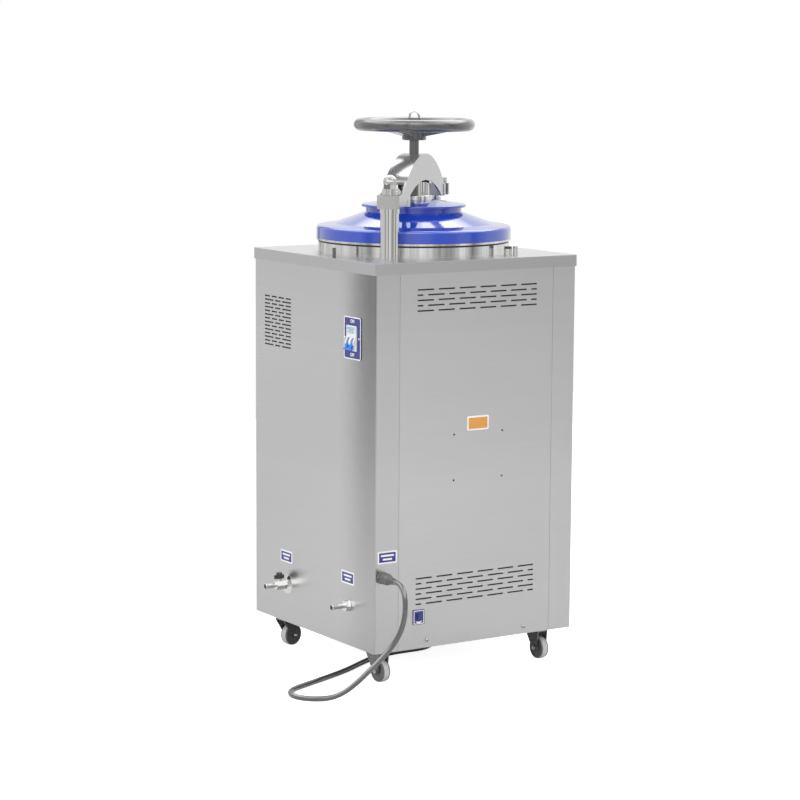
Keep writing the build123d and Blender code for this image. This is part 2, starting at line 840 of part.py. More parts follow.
with BuildPart() as air_outlet:
    with BuildSketch(right_side(air_y, tail_height)):
        Circle(air_base_radius)
    extrude(amount=plate_thickness)
    with BuildSketch(right_side(air_y, tail_height).offset(plate_thickness)):
        RegularPolygon(air_hex / 2, 6, major_radius=False)
    extrude(amount=air_hex_length)
    with BuildSketch(right_side(air_y, tail_height)):
        Circle(tail_radius)
    extrude(amount=air_reach)
    with BuildSketch(right_side(air_y, tail_height).offset(air_reach)):
        Circle(tail_bore)
    extrude(amount=-tail_length, mode=Mode.SUBTRACT)
finish(air_outlet, "air_outlet")

# Reset button
with BuildPart() as reset_plate:
    with BuildSketch(back_side(reset_x, reset_z)):
        RectangleRounded(reset_plate_width, reset_plate_height, plate_corner)
    extrude(amount=plate_thickness)
    with BuildSketch(back_side(reset_x, reset_z).offset(plate_thickness)):
        Circle(reset_collar_radius)
    extrude(amount=reset_collar_height)
    with BuildSketch(back_side(reset_x, reset_z)):
        Circle(reset_button_radius + pin_clearance)
    extrude(amount=2 * reset_button_height, mode=Mode.SUBTRACT)
finish(reset_plate, "reset_plate")

with BuildPart() as reset_button:
    with BuildSketch(back_side(reset_x, reset_z).offset(reset_button_height)):
        Circle(reset_button_radius)
    extrude(amount=-2 * reset_button_height + reset_travel)
finish(reset_button, "reset_button")

# Castors
castor_x = cabinet_width / 2 - castor_inset_x
castor_y = cabinet_depth / 2 - castor_inset_y
castor_places = {
    "front_right": (castor_x, -castor_y),
    "back_right": (castor_x, castor_y),
    "back_left": (-castor_x, castor_y),
    "front_left": (-castor_x, -castor_y),
}
with BuildPart() as castor_plates:
    for x, y in castor_places.values():
        with BuildSketch(Plane(origin=(axis_x + x, y, foot))):
            RectangleRounded(castor_plate_size, castor_plate_size, plate_corner)
        extrude(amount=-castor_plate_thickness)
finish(castor_plates, "castor_plates")

head_top = foot - castor_plate_thickness - seat_gap
cheek_inner = wheel_width / 2 + fork_gap
cheek_outer = cheek_inner + fork_cheek
for place, (x, y) in castor_places.items():
    heading = radians(castor_headings[place])
    trail = Vector(cos(heading), sin(heading), 0)
    sideways = Vector(sin(heading), -cos(heading), 0)
    swivel = Vector(axis_x + x, y, 0)
    fork_side = Plane(origin=swivel, x_dir=trail, z_dir=sideways)
    with BuildPart() as fork:
        with BuildSketch(Plane(origin=swivel + Vector(0, 0, head_top - castor_head_height))):
            Circle(castor_head_radius - castor_head_taper)
        with BuildSketch(Plane(origin=swivel + Vector(0, 0, head_top))):
            Circle(castor_head_radius)
        loft()
        with BuildSketch(fork_side):
            with Locations((castor_trail, wheel_size)):
                Circle(axle_radius * 2.6)
            with Locations((0, head_top - castor_head_height)):
                Rectangle(fork_top, fork_roof, align=(Align.CENTER, Align.MAX))
            make_hull()
        extrude(amount=cheek_outer, both=True)
        with BuildSketch(fork_side):
            with Locations((castor_trail, head_top - castor_head_height - fork_roof)):
                Rectangle(6 * castor_head_radius, 2 * castor_height, align=(Align.CENTER, Align.MAX))
        extrude(amount=cheek_inner, both=True, mode=Mode.SUBTRACT)
        with BuildSketch(fork_side):
            with Locations((castor_trail, wheel_size)):
                Circle(axle_radius)
        extrude(amount=cheek_outer, both=True)
        with BuildSketch(fork_side):
            with Locations((castor_trail, wheel_size)):
                Circle(hub_cap_radius)
                Circle(axle_radius, mode=Mode.SUBTRACT)
        extrude(amount=cheek_outer + hub_cap_height, both=True)
        with BuildSketch(fork_side):
            with Locations((castor_trail, wheel_size)):
                Circle(hub_cap_radius + 1)
                Circle(axle_radius, mode=Mode.SUBTRACT)
        extrude(amount=cheek_inner, both=True, mode=Mode.SUBTRACT)
    finish(fork, f"{place}_castor_fork")
    with BuildPart() as castor_wheel:
        with BuildSketch(fork_side):
            with Locations((castor_trail, wheel_size)):
                Circle(wheel_size)
                Circle(axle_radius + axle_clearance, mode=Mode.SUBTRACT)
        extrude(amount=wheel_width / 2, both=True)
        fillet(castor_wheel.edges().filter_by(GeomType.CIRCLE).group_by(SortBy.RADIUS)[-1], tread_edge)
    finish(castor_wheel, f"{place}_castor_wheel")

# Mains lead: gland, cable to the floor, the spare length in a coil, and the plug
gland_plane = back_side(gland_x, gland_z)
gland_tip = gland_nut_length + gland_length
cord_start = back_face + gland_tip + 5.0
with BuildPart() as cable_gland:
    with BuildSketch(gland_plane):
        RegularPolygon(gland_nut_width / 2, 6, major_radius=False)
    extrude(amount=gland_nut_length)
    with BuildSketch(gland_plane.offset(gland_nut_length)):
        Circle(gland_body_radius)
    extrude(amount=gland_length * 0.55)
    with BuildSketch(gland_plane.offset(gland_nut_length + gland_length * 0.55)):
        Circle(gland_body_radius)
    with BuildSketch(gland_plane.offset(gland_tip + 5.0)):
        Circle(gland_dome_radius)
    loft()
finish(cable_gland, "cable_gland")

exit_x = axis_x + gland_x
exit_z = foot + gland_z
floor_z = cord_radius + 0.2
cord_route = [
    (exit_x, cord_start, exit_z),
    (224.5, 345.5, 251.0),
    (227.5, 366.0, 238.5),
    (230.5, 377.0, 215.0),
    (233.0, 378.0, 183.0),
    (240.0, 374.0, 152.0),
    (256.0, 367.0, 121.0),
    (281.0, 358.0, 92.0),
    (308.0, 349.0, 66.0),
    (331.0, 339.0, 42.0),
    (352.0, 326.0, 22.0),
    (376.0, 312.0, 9.0),
    (404.0, 295.0, floor_z),
    (429.0, 271.0, floor_z),
    (437.0, 239.0, floor_z),
    (425.0, 208.0, floor_z),
    (398.0, 188.0, floor_z),
    (358.0, 170.0, floor_z),
    (312.0, 150.0, floor_z),
    (262.0, 128.0, floor_z),
    (204.0, 98.0, floor_z),
    (142.0, 58.0, floor_z),
    (76.0, 22.0, floor_z),
    (18.0, 9.0, floor_z),
    (coil_place[0], coil_place[1] + coil_middle_radius, floor_z),
]
points = [Vector(*p) for p in cord_route]
cord_radii = []
for before, here, after in zip(points, points[1:], points[2:]):
    turn = (here - before).get_angle(after - here)
    shorter = min((here - before).length, (after - here).length)
    cord_radii.append(0.45 * shorter / tan(radians(turn / 2)))
print("cord arc radii", [round(r) for r in cord_radii])
with BuildPart() as power_cable:
    with BuildLine():
        cord_line = FilletPolyline(*points, radius=cord_radii)
    with BuildSketch(Plane(origin=points[0], z_dir=points[1] - points[0])):
        Circle(cord_radius)
    sweep()
section = pi * cord_radius**2
print("cord length", cord_line.length, "volume share", power_cable.part.volume / section / cord_line.length)
finish(power_cable, "power_cable")

with BuildPart() as cable_coil:
    with BuildSketch(Plane(origin=(coil_place[0], coil_place[1], 0), x_dir=(1, 0, 0), z_dir=(0, -1, 0))):
        with Locations((coil_middle_radius, coil_section_height / 2 + 0.2)):
            RectangleRounded(coil_section_width, coil_section_height, cord_radius)
    revolve(axis=Axis((coil_place[0], coil_place[1], 0), (0, 0, 1)))
finish(cable_coil, "cable_coil")

plug_x = coil_place[0] - coil_middle_radius
coil_edge = coil_middle_radius + coil_section_width / 2
plug_y = coil_place[1] - (coil_edge**2 - (coil_middle_radius - plug_radius) ** 2) ** 0.5 + plug_seat
with BuildPart() as power_plug:
    with BuildSketch(Plane(origin=(plug_x, plug_y, plug_radius + 0.2), x_dir=(1, 0, 0), z_dir=(0, -1, 0))):
        Circle(plug_radius)
    extrude(amount=plug_length)
    with BuildSketch(
        Plane(origin=(plug_x, plug_y - plug_length, plug_radius + 0.2), x_dir=(1, 0, 0), z_dir=(0, -1, 0))
    ):
        with GridLocations(19, 1, 2, 1):
            Circle(2.4)
    extrude(amount=19)
finish(power_plug, "power_plug")
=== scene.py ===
"""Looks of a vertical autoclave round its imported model: finishes, labels, fasteners and lead."""

from math import cos, pi, radians, sin

import bmesh
import bpy
from bpy.props import FloatProperty, FloatVectorProperty, IntProperty, PointerProperty
from mathutils import Matrix, Vector


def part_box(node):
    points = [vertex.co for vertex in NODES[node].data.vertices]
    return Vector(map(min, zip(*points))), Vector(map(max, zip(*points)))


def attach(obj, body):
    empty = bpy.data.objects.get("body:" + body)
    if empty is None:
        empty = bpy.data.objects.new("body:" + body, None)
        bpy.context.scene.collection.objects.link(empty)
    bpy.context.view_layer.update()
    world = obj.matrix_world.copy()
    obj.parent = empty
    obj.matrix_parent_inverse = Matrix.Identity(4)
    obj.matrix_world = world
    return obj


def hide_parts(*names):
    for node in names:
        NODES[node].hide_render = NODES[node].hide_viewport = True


bl_info = {
    "name": "Vertical Autoclave",
    "version": (1, 0, 0),
    "blender": (4, 5, 0),
    "location": "View3D > Sidebar > Autoclave",
    "description": "Finishes, labels, fasteners and mains lead of an upright steam steriliser",
    "category": "Add Mesh",
}

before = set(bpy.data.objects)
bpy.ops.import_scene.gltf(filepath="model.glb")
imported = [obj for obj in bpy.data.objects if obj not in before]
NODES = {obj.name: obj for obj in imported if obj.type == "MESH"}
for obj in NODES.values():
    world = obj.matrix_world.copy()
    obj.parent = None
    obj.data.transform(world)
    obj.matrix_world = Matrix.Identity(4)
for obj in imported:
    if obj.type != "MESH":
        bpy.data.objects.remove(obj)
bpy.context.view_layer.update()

# Places read from the frame, in metres
FLANGE_LOW, FLANGE_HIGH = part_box("flange_ring")
AXIS_X = (FLANGE_LOW.x + FLANGE_HIGH.x) / 2
CAP_TOP = FLANGE_LOW.z
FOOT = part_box("base_tray")[0].z
RIGHT_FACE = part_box("right_side_panel")[1].x
BACK_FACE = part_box("back_panel")[1].y

# The photograph's viewpoint
CAMERA_PLACE = (3.1962, 4.9774, 1.4178)
CAMERA_YAW = 147.347
CAMERA_DIP = 7.8545
CAMERA_ROLL = 0.3598
CAMERA_LENS = 115.26
SENSOR_WIDTH = 36.0

# The mains lead: out of the gland, down to the floor, round on the +X side and under the cabinet
LEAD_ROUTE = [
    (0.22375, 0.3215, 0.2520),
    (0.2245, 0.3455, 0.2510),
    (0.2275, 0.3660, 0.2385),
    (0.2305, 0.3770, 0.2150),
    (0.2330, 0.3780, 0.1830),
    (0.2400, 0.3740, 0.1520),
    (0.2560, 0.3670, 0.1210),
    (0.2810, 0.3580, 0.0920),
    (0.3080, 0.3490, 0.0660),
    (0.3310, 0.3390, 0.0420),
    (0.3520, 0.3260, 0.0220),
    (0.3760, 0.3120, 0.0090),
    (0.4040, 0.2950, 0.0062),
    (0.4290, 0.2710, 0.0062),
    (0.4370, 0.2390, 0.0062),
    (0.4250, 0.2080, 0.0062),
    (0.3980, 0.1880, 0.0062),
    (0.3580, 0.1700, 0.0062),
    (0.3120, 0.1500, 0.0062),
    (0.2620, 0.1280, 0.0062),
    (0.2040, 0.0980, 0.0062),
    (0.1420, 0.0580, 0.0062),
    (0.0760, 0.0220, 0.0062),
    (0.0180, 0.0110, 0.0062),
]
COIL_CENTRE = (-0.040, -0.060)
COIL_OUTER_TURN = 0.072
COIL_INNER_TURN = 0.060
COIL_TOP_TURN = 0.066
COIL_TURNS = 2.25
COIL_STEPS = 16
FLOOR_LEVEL = 0.0062
TOP_LEVEL = 0.0184

# The studio in reflections: grey levels round the room by heading in degrees, and by height
ROOM_LEVEL = 5.0
ROOM_WALLS = [
    (-180, 0.92), (-150, 0.96), (-124, 0.78), (-108, 0.86), (-94, 0.26), (-86, 0.84), (-60, 0.84),
    (-8, 0.84), (3, 0.26), (12, 0.84), (34, 0.88), (42, 0.12), (50, 1.00), (62, 1.00), (76, 0.80),
    (84, 0.42), (106, 0.50), (113, 0.84), (125, 0.84), (132, 0.20), (141, 0.62), (156, 1.00), (180, 0.92),
]
ROOM_RISE = [
    (-90, 0.19), (-14, 0.21), (-9, 0.225), (-3, 0.195), (8, 0.225), (27, 0.23), (37, 0.85), (60, 0.85),
    (72, 0.42), (90, 0.30),
]
FILL_LEVEL = 0.55
FLOOR_TONE = (0.80, 0.80, 0.80, 1.0)
FLOOR_SEEN = 0.86
FLOOR_MIRRORED = 0.04
WHITE = (1.0, 1.0, 1.0, 1.0)

# Soft lamps: name, place, aim, side in metres and power in watts
LAMPS = (
    ("overhead", (0.2, 0.4, 3.4), (0.0, 0.0, 0.9), 3.0, 60.0),
    ("behind", (-1.7, -2.6, 3.3), (0.0, 0.0, 1.0), 2.2, 50.0),
    ("side", (3.6, 0.4, 2.2), (0.0, 0.0, 0.6), 2.4, 45.0),
    ("front", (0.4, 3.9, 2.3), (0.0, 0.0, 0.6), 2.4, 40.0),
)

# Painted shade of the cabinet sheet by height in metres, painted shade on the top cover's lip, and the
# smudged corner's painted dark reflection
SHEET_PAINTED_SHADE = [(0.08, 0.80), (0.26, 0.89), (0.44, 1.0), (0.74, 1.0), (0.93, 0.92)]
LIP_SHADE = 0.83
SMUDGE_AND_PAINTED_REFLECTION_START = 0.12
SMUDGE_AND_PAINTED_REFLECTION_END = 0.266
SMUDGE_AND_PAINTED_REFLECTION_SHADE = 0.40

# Thickness of printed ink, and of a rim or a mark that stands on a plate
INK = 0.00004
MARK_RISE = 0.0003
LABEL_CORNER = 0.003

# Printed plates: name, face, place across, height over the foot, width, height, marks and ground
BARS = ((0.034, 0.0042, 0.0, 0.0042), (0.024, 0.0042, 0.0, -0.0042))
LABELS = (
    ("drain_label", "right", -0.1195, 0.1560, 0.0534, 0.0280, BARS, "navy"),
    ("air_label", "right", 0.1549, 0.1548, 0.0545, 0.0290, BARS, "navy"),
    ("supply_label", "back", 0.2366, 0.2171, 0.0505, 0.0283, BARS, "navy"),
    ("service_label", "back", -0.0030, 0.5010, 0.0584, 0.0325, (), "orange"),
)

# Main switch: plate, rim, marks and screws, and the field on the breaker's upper step with its lines
SWITCH_CORNER = 0.0055
SWITCH_RIM = 0.0026
SWITCH_MARK_RISE = 0.0375
SWITCH_MARK_HEIGHT = 0.0075
SWITCH_MARK_LIFT = 0.0002
SWITCH_SCREW_SIDE = 0.0292
SWITCH_SCREW_RADIUS = 0.0026
BREAKER_STEP = 0.004
BREAKER_FIELD = (0.036, 0.0165)
BREAKER_FIELD_DROP = 0.0098
BREAKER_LINES = ((0.030, 0.0052), (0.030, 0.0022), (0.022, -0.0012), (0.028, -0.0046))
BREAKER_LINE_HEIGHT = 0.0014

# Reset plate: its front, its dark outer rim and pale inner rim, and the crescent of painted highlight
# under the button
RESET_PLATE_FRONT = 0.0015
RESET_RIM = 0.0013
RESET_INNER_RIM = 0.0019
RESET_CORNER = 0.0030
RESET_INNER_CORNER = 0.0022
CRESCENT_REACH = 0.0098
CRESCENT_DROP = 0.0086
CRESCENT_BOWS = (0.0012, 0.0052)
CRESCENT_STEPS = 12

# Dark sheets of painted shade behind the vents: name, face, place across, height over the foot, width and
# height
VENT_DEPTH = 0.0022
SHADE_SHEET_THICKNESS = 0.0006
SHADE_SHEET_CORNER = 0.002
VENTS = (
    ("side_vent_lining", "right", -0.1603, 0.7044, 0.130, 0.124),
    ("upper_vent_lining", "back", 0.0, 0.7849, 0.332, 0.058),
    ("lower_vent_lining", "back", 0.0, 0.1306, 0.332, 0.070),
)

# Screws of the back panel, and the bolt on the latch head by its way along and across the arm
PANEL_SCREW_HEIGHT = 0.0165
PANEL_SCREW_PLACES = (0.1308, -0.1351)
LATCH_BOLT_ALONG = -0.275
LATCH_BOLT_ACROSS = -0.0177
LATCH_BOLT_HEIGHT = 1.013
LATCH_BOLT = [(0, 0), (0.0052, 0), (0.0052, 0.0125), (0.0040, 0.0152), (0, 0.0160)]

# Heads of fasteners by kind, as profiles of one unit radius
HEADS = {
    "pan": [(0, 0), (1, 0), (1, 0.34), (0.88, 0.62), (0.64, 0.82), (0.38, 0.88), (0.30, 0.40), (0, 0.34)],
    "bolt": [(0, 0), (1, 0), (1, 0.62), (0.88, 0.76), (0.52, 0.78), (0.46, 1.05), (0.36, 1.15), (0, 1.17)],
}
SEED = 7

# The bead at the tip of a hose tail, and a black disc of painted shade in its bore
HOSE_BEAD = [
    (0.0050, -0.0045), (0.0058, -0.0045), (0.0067, -0.0028), (0.0067, -0.0012), (0.0060, 0.0003),
    (0.0052, 0.0003), (0.0050, 0.0000), (0.0050, -0.0045),
]
HOSE_BORE_SHADE = [(0, 0.0000), (0.0057, 0.0000), (0.0057, 0.0004), (0, 0.0004)]

# The gland from the cabinet outwards: locknut, dome nut with its ribs, and stepped strain relief
GLAND_NUT = [(0, 0), (0.0136, 0), (0.0144, 0.0008), (0.0144, 0.0072), (0.0136, 0.0080), (0, 0.0080)]
GLAND_DOME = [
    (0, 0.0080), (0.0108, 0.0080), (0.0108, 0.0100), (0.0122, 0.0108), (0.0124, 0.0260),
    (0.0118, 0.0300), (0.0104, 0.0328), (0.0094, 0.0336), (0, 0.0336),
]
GLAND_RIB_RING = 0.0122
GLAND_RIB_RADIUS = 0.0011
GLAND_RIB_LENGTH = 0.0150
GLAND_RIB_MIDDLE = 0.0190
RELIEF_START = 0.0336
RELIEF_STEPS = 6
RELIEF_WIDE = 0.0092
RELIEF_NARROW = 0.0066
RELIEF_TIP = 0.0063

# One side of a castor wheel as radius and height; from a radius outwards it is pale tread
WHEEL_SIDE = [
    (0.0000, 0.0110), (0.0050, 0.0110), (0.0056, 0.0104), (0.0060, 0.0078), (0.0085, 0.0070),
    (0.0165, 0.0066), (0.0182, 0.0076), (0.0205, 0.0080), (0.0216, 0.0074), (0.0222, 0.0094),
    (0.0236, 0.0100), (0.0248, 0.0092), (0.0251, 0.0064), (0.0257, 0.0058), (0.0260, 0.0030),
]
TREAD_START = 0.0252
CASTOR_CORNERS = ("front_right", "back_right", "back_left", "front_left")

# How far a fork's outer face stands from the middle of its wheel, and half the width of an axle bolt
FORK_HALF_WIDTH = 0.014
AXLE_BOLT_RADIUS = 0.0052

# What is built once: shader groups, finishes and trees for what repeats
GROUPS = {}
MATERIALS = {}
TREES = {}


def length(label, words, value):
    return FloatProperty(name=label, description=words, unit="LENGTH", default=value)


class AutoclaveSizes(bpy.types.PropertyGroup):
    """Sizes of the pieces that dress the model."""

    lead_radius: length("Lead radius", "Half the thickness of the mains lead", 0.006)
    gland_ribs: IntProperty(name="Gland ribs", description="Ribs round the gland's dome nut", default=18)
    screw_radius: length("Screw radius", "Half the width of a panel screw's head", 0.0042)
    label_thickness: length("Label thickness", "Thickness of a printed plate", 0.0006)
    label_edge: length("Label edge", "Width of the pale edge round a printed plate", 0.0035)
    floor_size: length("Floor size", "Side of the studio floor", 7.0)


def colour(label, words, value):
    return FloatVectorProperty(
        name=label, description=words, subtype="COLOR", size=3, min=0.0, max=1.0, default=value
    )


class AutoclaveColours(bpy.types.PropertyGroup):
    """Colours of the autoclave's finishes, as linear values."""

    sheet: colour("Sheet steel", "Brushed stainless cabinet sheet", (0.62, 0.62, 0.62))
    cap: colour("Cap steel", "Brushed stainless top cover", (0.60, 0.60, 0.60))
    screw: colour("Screw steel", "Plated panel screws", (0.40, 0.40, 0.40))
    polished: colour("Polished steel", "Turned and polished stainless parts", (0.62, 0.62, 0.61))
    arm: colour("Arm steel", "Satin plate of the bridge arm", (0.46, 0.46, 0.455))
    enamel: colour("Lid enamel", "Gloss blue enamel of the lid cover", (0.018, 0.058, 0.45))
    casting: colour("Handwheel", "Dark plated handwheel", (0.074, 0.074, 0.074))
    spindle: colour("Spindle", "Dark screw under the handwheel", (0.155, 0.155, 0.155))
    navy: colour("Navy print", "Ground of the printed plates", (0.036, 0.040, 0.215))
    edge: colour("Pale print", "Edges and marks of the printed plates", (0.85, 0.85, 0.86))
    orange: colour("Orange print", "Ground of the orange plate", (0.69, 0.31, 0.062))
    pale_plastic: colour("Pale plastic", "Body of the main switch", (0.78, 0.79, 0.80))
    print_ground: colour("Breaker print", "Pale field on the breaker", (0.62, 0.72, 0.76))
    print_line: colour("Breaker lines", "Plain lines on the breaker's field", (0.10, 0.30, 0.45))
    lever: colour("Lever", "Blue lever of the main switch", (0.035, 0.20, 0.72))
    black_plastic: colour("Black plastic", "Valve handle, button and plug", (0.035, 0.035, 0.036))
    gland: colour("Gland", "Moulded cable gland", (0.115, 0.115, 0.115))
    sheath: colour("Lead sheath", "Sheath of the mains lead", (0.115, 0.115, 0.115))
    castor: colour("Castor pressing", "Plated castor forks and plates", (0.17, 0.17, 0.17))
    wheel: colour("Castor wheel", "Discs of the castor wheels", (0.15, 0.15, 0.152))
    tread: colour("Castor tread", "Paler band round a castor wheel", (0.62, 0.62, 0.62))
    seal: colour("Seal", "Black silicone gasket", (0.02, 0.02, 0.02))


# Shader node helpers


def node(tree, kind, inputs=None, **settings):
    """A node with its settings and with its inputs set or, where the value is a socket, linked."""
    made = tree.nodes.new(kind)
    for name, value in settings.items():
        setattr(made, name, value)
    for name, value in (inputs or {}).items():
        if isinstance(value, bpy.types.NodeSocket):
            tree.links.new(value, made.inputs[name])
        else:
            made.inputs[name].default_value = value
    return made


def maths(tree, operation, *values):
    """The result of a Math node on numbers and sockets."""
    return node(tree, "ShaderNodeMath", dict(enumerate(values)), operation=operation).outputs[0]


def vectors(tree, operation, *values):
    """The result of a Vector Math node on vectors and sockets."""
    return node(tree, "ShaderNodeVectorMath", dict(enumerate(values)), operation=operation).outputs[0]


def noise(tree, vector, scale, detail=2.0, **values):
    """Noise between 0 and 1."""
    inputs = {"Vector": vector, "Scale": scale, "Detail": detail, **values}
    return node(tree, "ShaderNodeTexNoise", inputs).outputs["Fac"]


def spread(tree, value, low, high, start=0.0, end=1.0, **settings):
    """A value between low and high, spread over the range from start to end."""
    inputs = {"Value": value, "From Min": low, "From Max": high, "To Min": start, "To Max": end}
    return node(tree, "ShaderNodeMapRange", inputs, **settings).outputs[0]


def mixed(tree, share, first, second):
    """A value on the way from the first to the second."""
    inputs = {"Factor": share, "A": first, "B": second}
    return node(tree, "ShaderNodeMix", inputs, data_type="FLOAT").outputs[0]


def shader_group(name, values, outputs):
    """An empty shader group on Vector and the named values; gives it with its sockets inside."""
    tree = bpy.data.node_groups.new(name, "ShaderNodeTree")
    for label, value in {"Vector": (0.0, 0.0, 0.0), **values}.items():
        kind = "NodeSocketVector" if isinstance(value, tuple) else "NodeSocketFloat"
        tree.interface.new_socket(label, in_out="INPUT", socket_type=kind).default_value = value
    for label in outputs:
        tree.interface.new_socket(label, in_out="OUTPUT", socket_type="NodeSocketFloat")
    return tree, tree.nodes.new("NodeGroupInput").outputs, tree.nodes.new("NodeGroupOutput").inputs


def brushed_grain_group():
    """Fine straight scratches: noise that is squeezed across the brushing and drawn out along it."""
    values = {"Stretch": (900.0, 900.0, 12.0), "Contrast": 0.5}
    tree, given, out = shader_group("Brushed Grain", values, ["Mask", "Height"])
    drawn = vectors(tree, "MULTIPLY", given["Vector"], given["Stretch"])
    fine = noise(tree, drawn, 1.0, 3.0, Roughness=0.6)
    coarse = noise(tree, drawn, 0.17)
    both = mixed(tree, 0.4, fine, coarse)
    centred = maths(tree, "SUBTRACT", both, 0.5)
    scaled = maths(tree, "MULTIPLY_ADD", centred, given["Contrast"], 0.5)
    tree.links.new(scaled, out["Mask"])
    tree.links.new(both, out["Height"])
    return tree


def handling_marks_group():
    """Soft wiping marks and fine speckle, as on sheet that has been handled and cleaned."""
    values = {"Cloud Scale": 4.0, "Speckle Scale": 180.0, "Amount": 0.5}
    tree, given, out = shader_group("Handling Marks", values, ["Mask"])
    cloud = noise(tree, given["Vector"], given["Cloud Scale"], 3.0, Distortion=0.6)
    speckle = noise(tree, given["Vector"], given["Speckle Scale"])
    spots = spread(tree, speckle, 0.55, 0.75)
    soft = spread(tree, cloud, 0.35, 0.70)
    patchy = maths(tree, "MULTIPLY", spots, soft)
    both = maths(tree, "MAXIMUM", patchy, soft)
    tree.links.new(maths(tree, "MULTIPLY", both, given["Amount"]), out["Mask"])
    return tree


def moulded_grain_group():
    """The fine even texture of a casting or a moulding, with a slow drift of tone."""
    values = {"Grain Scale": 900.0, "Drift Scale": 14.0}
    tree, given, out = shader_group("Moulded Grain", values, ["Tone", "Height"])
    grain = noise(tree, given["Vector"], given["Grain Scale"])
    drift = noise(tree, given["Vector"], given["Drift Scale"], 3.0)
    tree.links.new(mixed(tree, 0.3, drift, grain), out["Tone"])
    tree.links.new(grain, out["Height"])
    return tree


def ring_painted_reflection_group():
    """Painted reflection in upright light and dark streaks round a turned ring: noise that changes only
    with the heading from the axis.
    """
    tree, given, out = shader_group("Ring Painted Reflection Streaks", {"Streaks": 9.0}, ["Mask"])
    flat = vectors(tree, "MULTIPLY", given["Vector"], (1.0, 1.0, 0.0))
    outward = vectors(tree, "NORMALIZE", flat)
    streaks = noise(tree, outward, given["Streaks"], 4.0, Roughness=0.65)
    tree.links.new(spread(tree, streaks, 0.35, 0.65), out["Mask"])
    return tree


def corner_smudge_and_painted_reflection_group():
    """Darker sheet beside the bend at the near corner: a painted dark reflection with mottled smudges, by
    the distance along Y.
    """
    values = {"Start": 0.10, "End": 0.26, "Full Height": 0.85, "No Height": 0.15}
    tree, given, out = shader_group("Corner Smudge And Painted Reflection", values, ["Mask"])
    parts = node(tree, "ShaderNodeSeparateXYZ", {0: given["Vector"]}).outputs
    blotch = noise(tree, given["Vector"], 34.0, 5.0, Roughness=0.62)
    wander = maths(tree, "MULTIPLY_ADD", blotch, 0.03, parts["Y"])
    near = spread(tree, wander, given["Start"], given["End"], interpolation_type="SMOOTHSTEP")
    high = spread(tree, parts["Z"], given["No Height"], given["Full Height"], 0.25)
    side = spread(tree, parts["X"], RIGHT_FACE - 0.004, RIGHT_FACE - 0.001)
    both = maths(tree, "MULTIPLY", near, high)
    tree.links.new(maths(tree, "MULTIPLY", both, side), out["Mask"])
    return tree


def group(maker):
    """The shader group that the maker builds, built once."""
    if maker not in GROUPS:
        GROUPS[maker] = maker()
    return GROUPS[maker]


class Finish:
    """A material with a Principled surface and object coordinates, under construction."""

    def __init__(self, name, **values):
        self.material = bpy.data.materials.new(name)
        self.material.use_nodes = True
        self.tree = self.material.node_tree
        self.tree.nodes.clear()
        self.surface = node(self.tree, "ShaderNodeBsdfPrincipled", values)
        output = self.tree.nodes.new("ShaderNodeOutputMaterial")
        self.tree.links.new(self.surface.outputs[0], output.inputs["Surface"])
        self.place = self.tree.nodes.new("ShaderNodeTexCoord").outputs["Object"]

    def add(self, kind, inputs=None, **settings):
        return node(self.tree, kind, inputs, **settings)

    def effect(self, maker, **inputs):
        """A shared group at the piece's own coordinates; names in the call use _ for a space."""
        made = self.tree.nodes.new("ShaderNodeGroup")
        made.node_tree = group(maker)
        self.tree.links.new(self.place, made.inputs["Vector"])
        for name, value in inputs.items():
            made.inputs[name.replace("_", " ")].default_value = value
        return made

    def between(self, mask, low, high):
        """A value that runs from low to high with the mask."""
        return spread(self.tree, mask, 0.0, 1.0, low, high)

    def scaled(self, tone, shade):
        """A colour times a shade."""
        return self.add("ShaderNodeVectorMath", {0: tone, "Scale": shade}, operation="SCALE").outputs[0]

    def tint(self, mask, base, dark, light):
        """The base colour times a shade that runs from dark to light with the mask."""
        return self.scaled((base[0], base[1], base[2]), self.between(mask, dark, light))

    def height(self):
        """The height of a place on the piece, in metres."""
        return self.add("ShaderNodeSeparateXYZ", {0: self.place}).outputs["Z"]

    def feed(self, **sockets):
        """Links sockets to the surface; names in the call use _ for a space."""
        for name, socket in sockets.items():
            self.tree.links.new(socket, self.surface.inputs[name.replace("_", " ")])

    def bump(self, height, strength, distance):
        """Relief that feeds the surface's normal."""
        inputs = {"Height": height, "Strength": strength, "Distance": distance}
        self.feed(Normal=self.add("ShaderNodeBump", inputs).outputs[0])


def steel(name, base, stretch, rough, depth, marks=0.3, metallic=1.0, tone=None):
    """Stainless steel that is brushed or polished along one direction, with painted light from a tone
    function if given.
    """
    made = Finish(name, Metallic=metallic)
    grain = made.effect(brushed_grain_group, Stretch=stretch, Contrast=0.8)
    wear = made.effect(handling_marks_group, Amount=marks)
    low, high = rough
    shaded = made.tint(grain.outputs["Mask"], base, 0.93, 1.05)
    # The tone functions paint light and shade into the colour
    if tone:
        shaded = tone(made, shaded)
    made.feed(Base_Color=shaded)
    plain = made.between(grain.outputs["Mask"], low, high)
    made.feed(Roughness=maths(made.tree, "MULTIPLY_ADD", wear.outputs["Mask"], high - low, plain))
    made.bump(grain.outputs["Height"], depth, 0.0002)
    return made.material


def painted_reflection_streaks(made, shaded):
    """Painted reflection on a turned ring, in upright streaks about the vessel's axis."""
    centred = made.add("ShaderNodeMapping", {"Vector": made.place, "Location": (-AXIS_X, 0.0, 0.0)})
    streaks = made.effect(ring_painted_reflection_group, Streaks=8.0)
    made.tree.links.new(centred.outputs[0], streaks.inputs["Vector"])
    return made.scaled(shaded, made.between(streaks.outputs["Mask"], 0.74, 1.36))


def painted_height_shade(made, shaded):
    """The cabinet sheet with painted shade: a little darker low down and right under the cap."""
    ramp = ramp_of(made.tree, made.height(), SHEET_PAINTED_SHADE)
    return made.scaled(shaded, ramp.outputs["Color"])


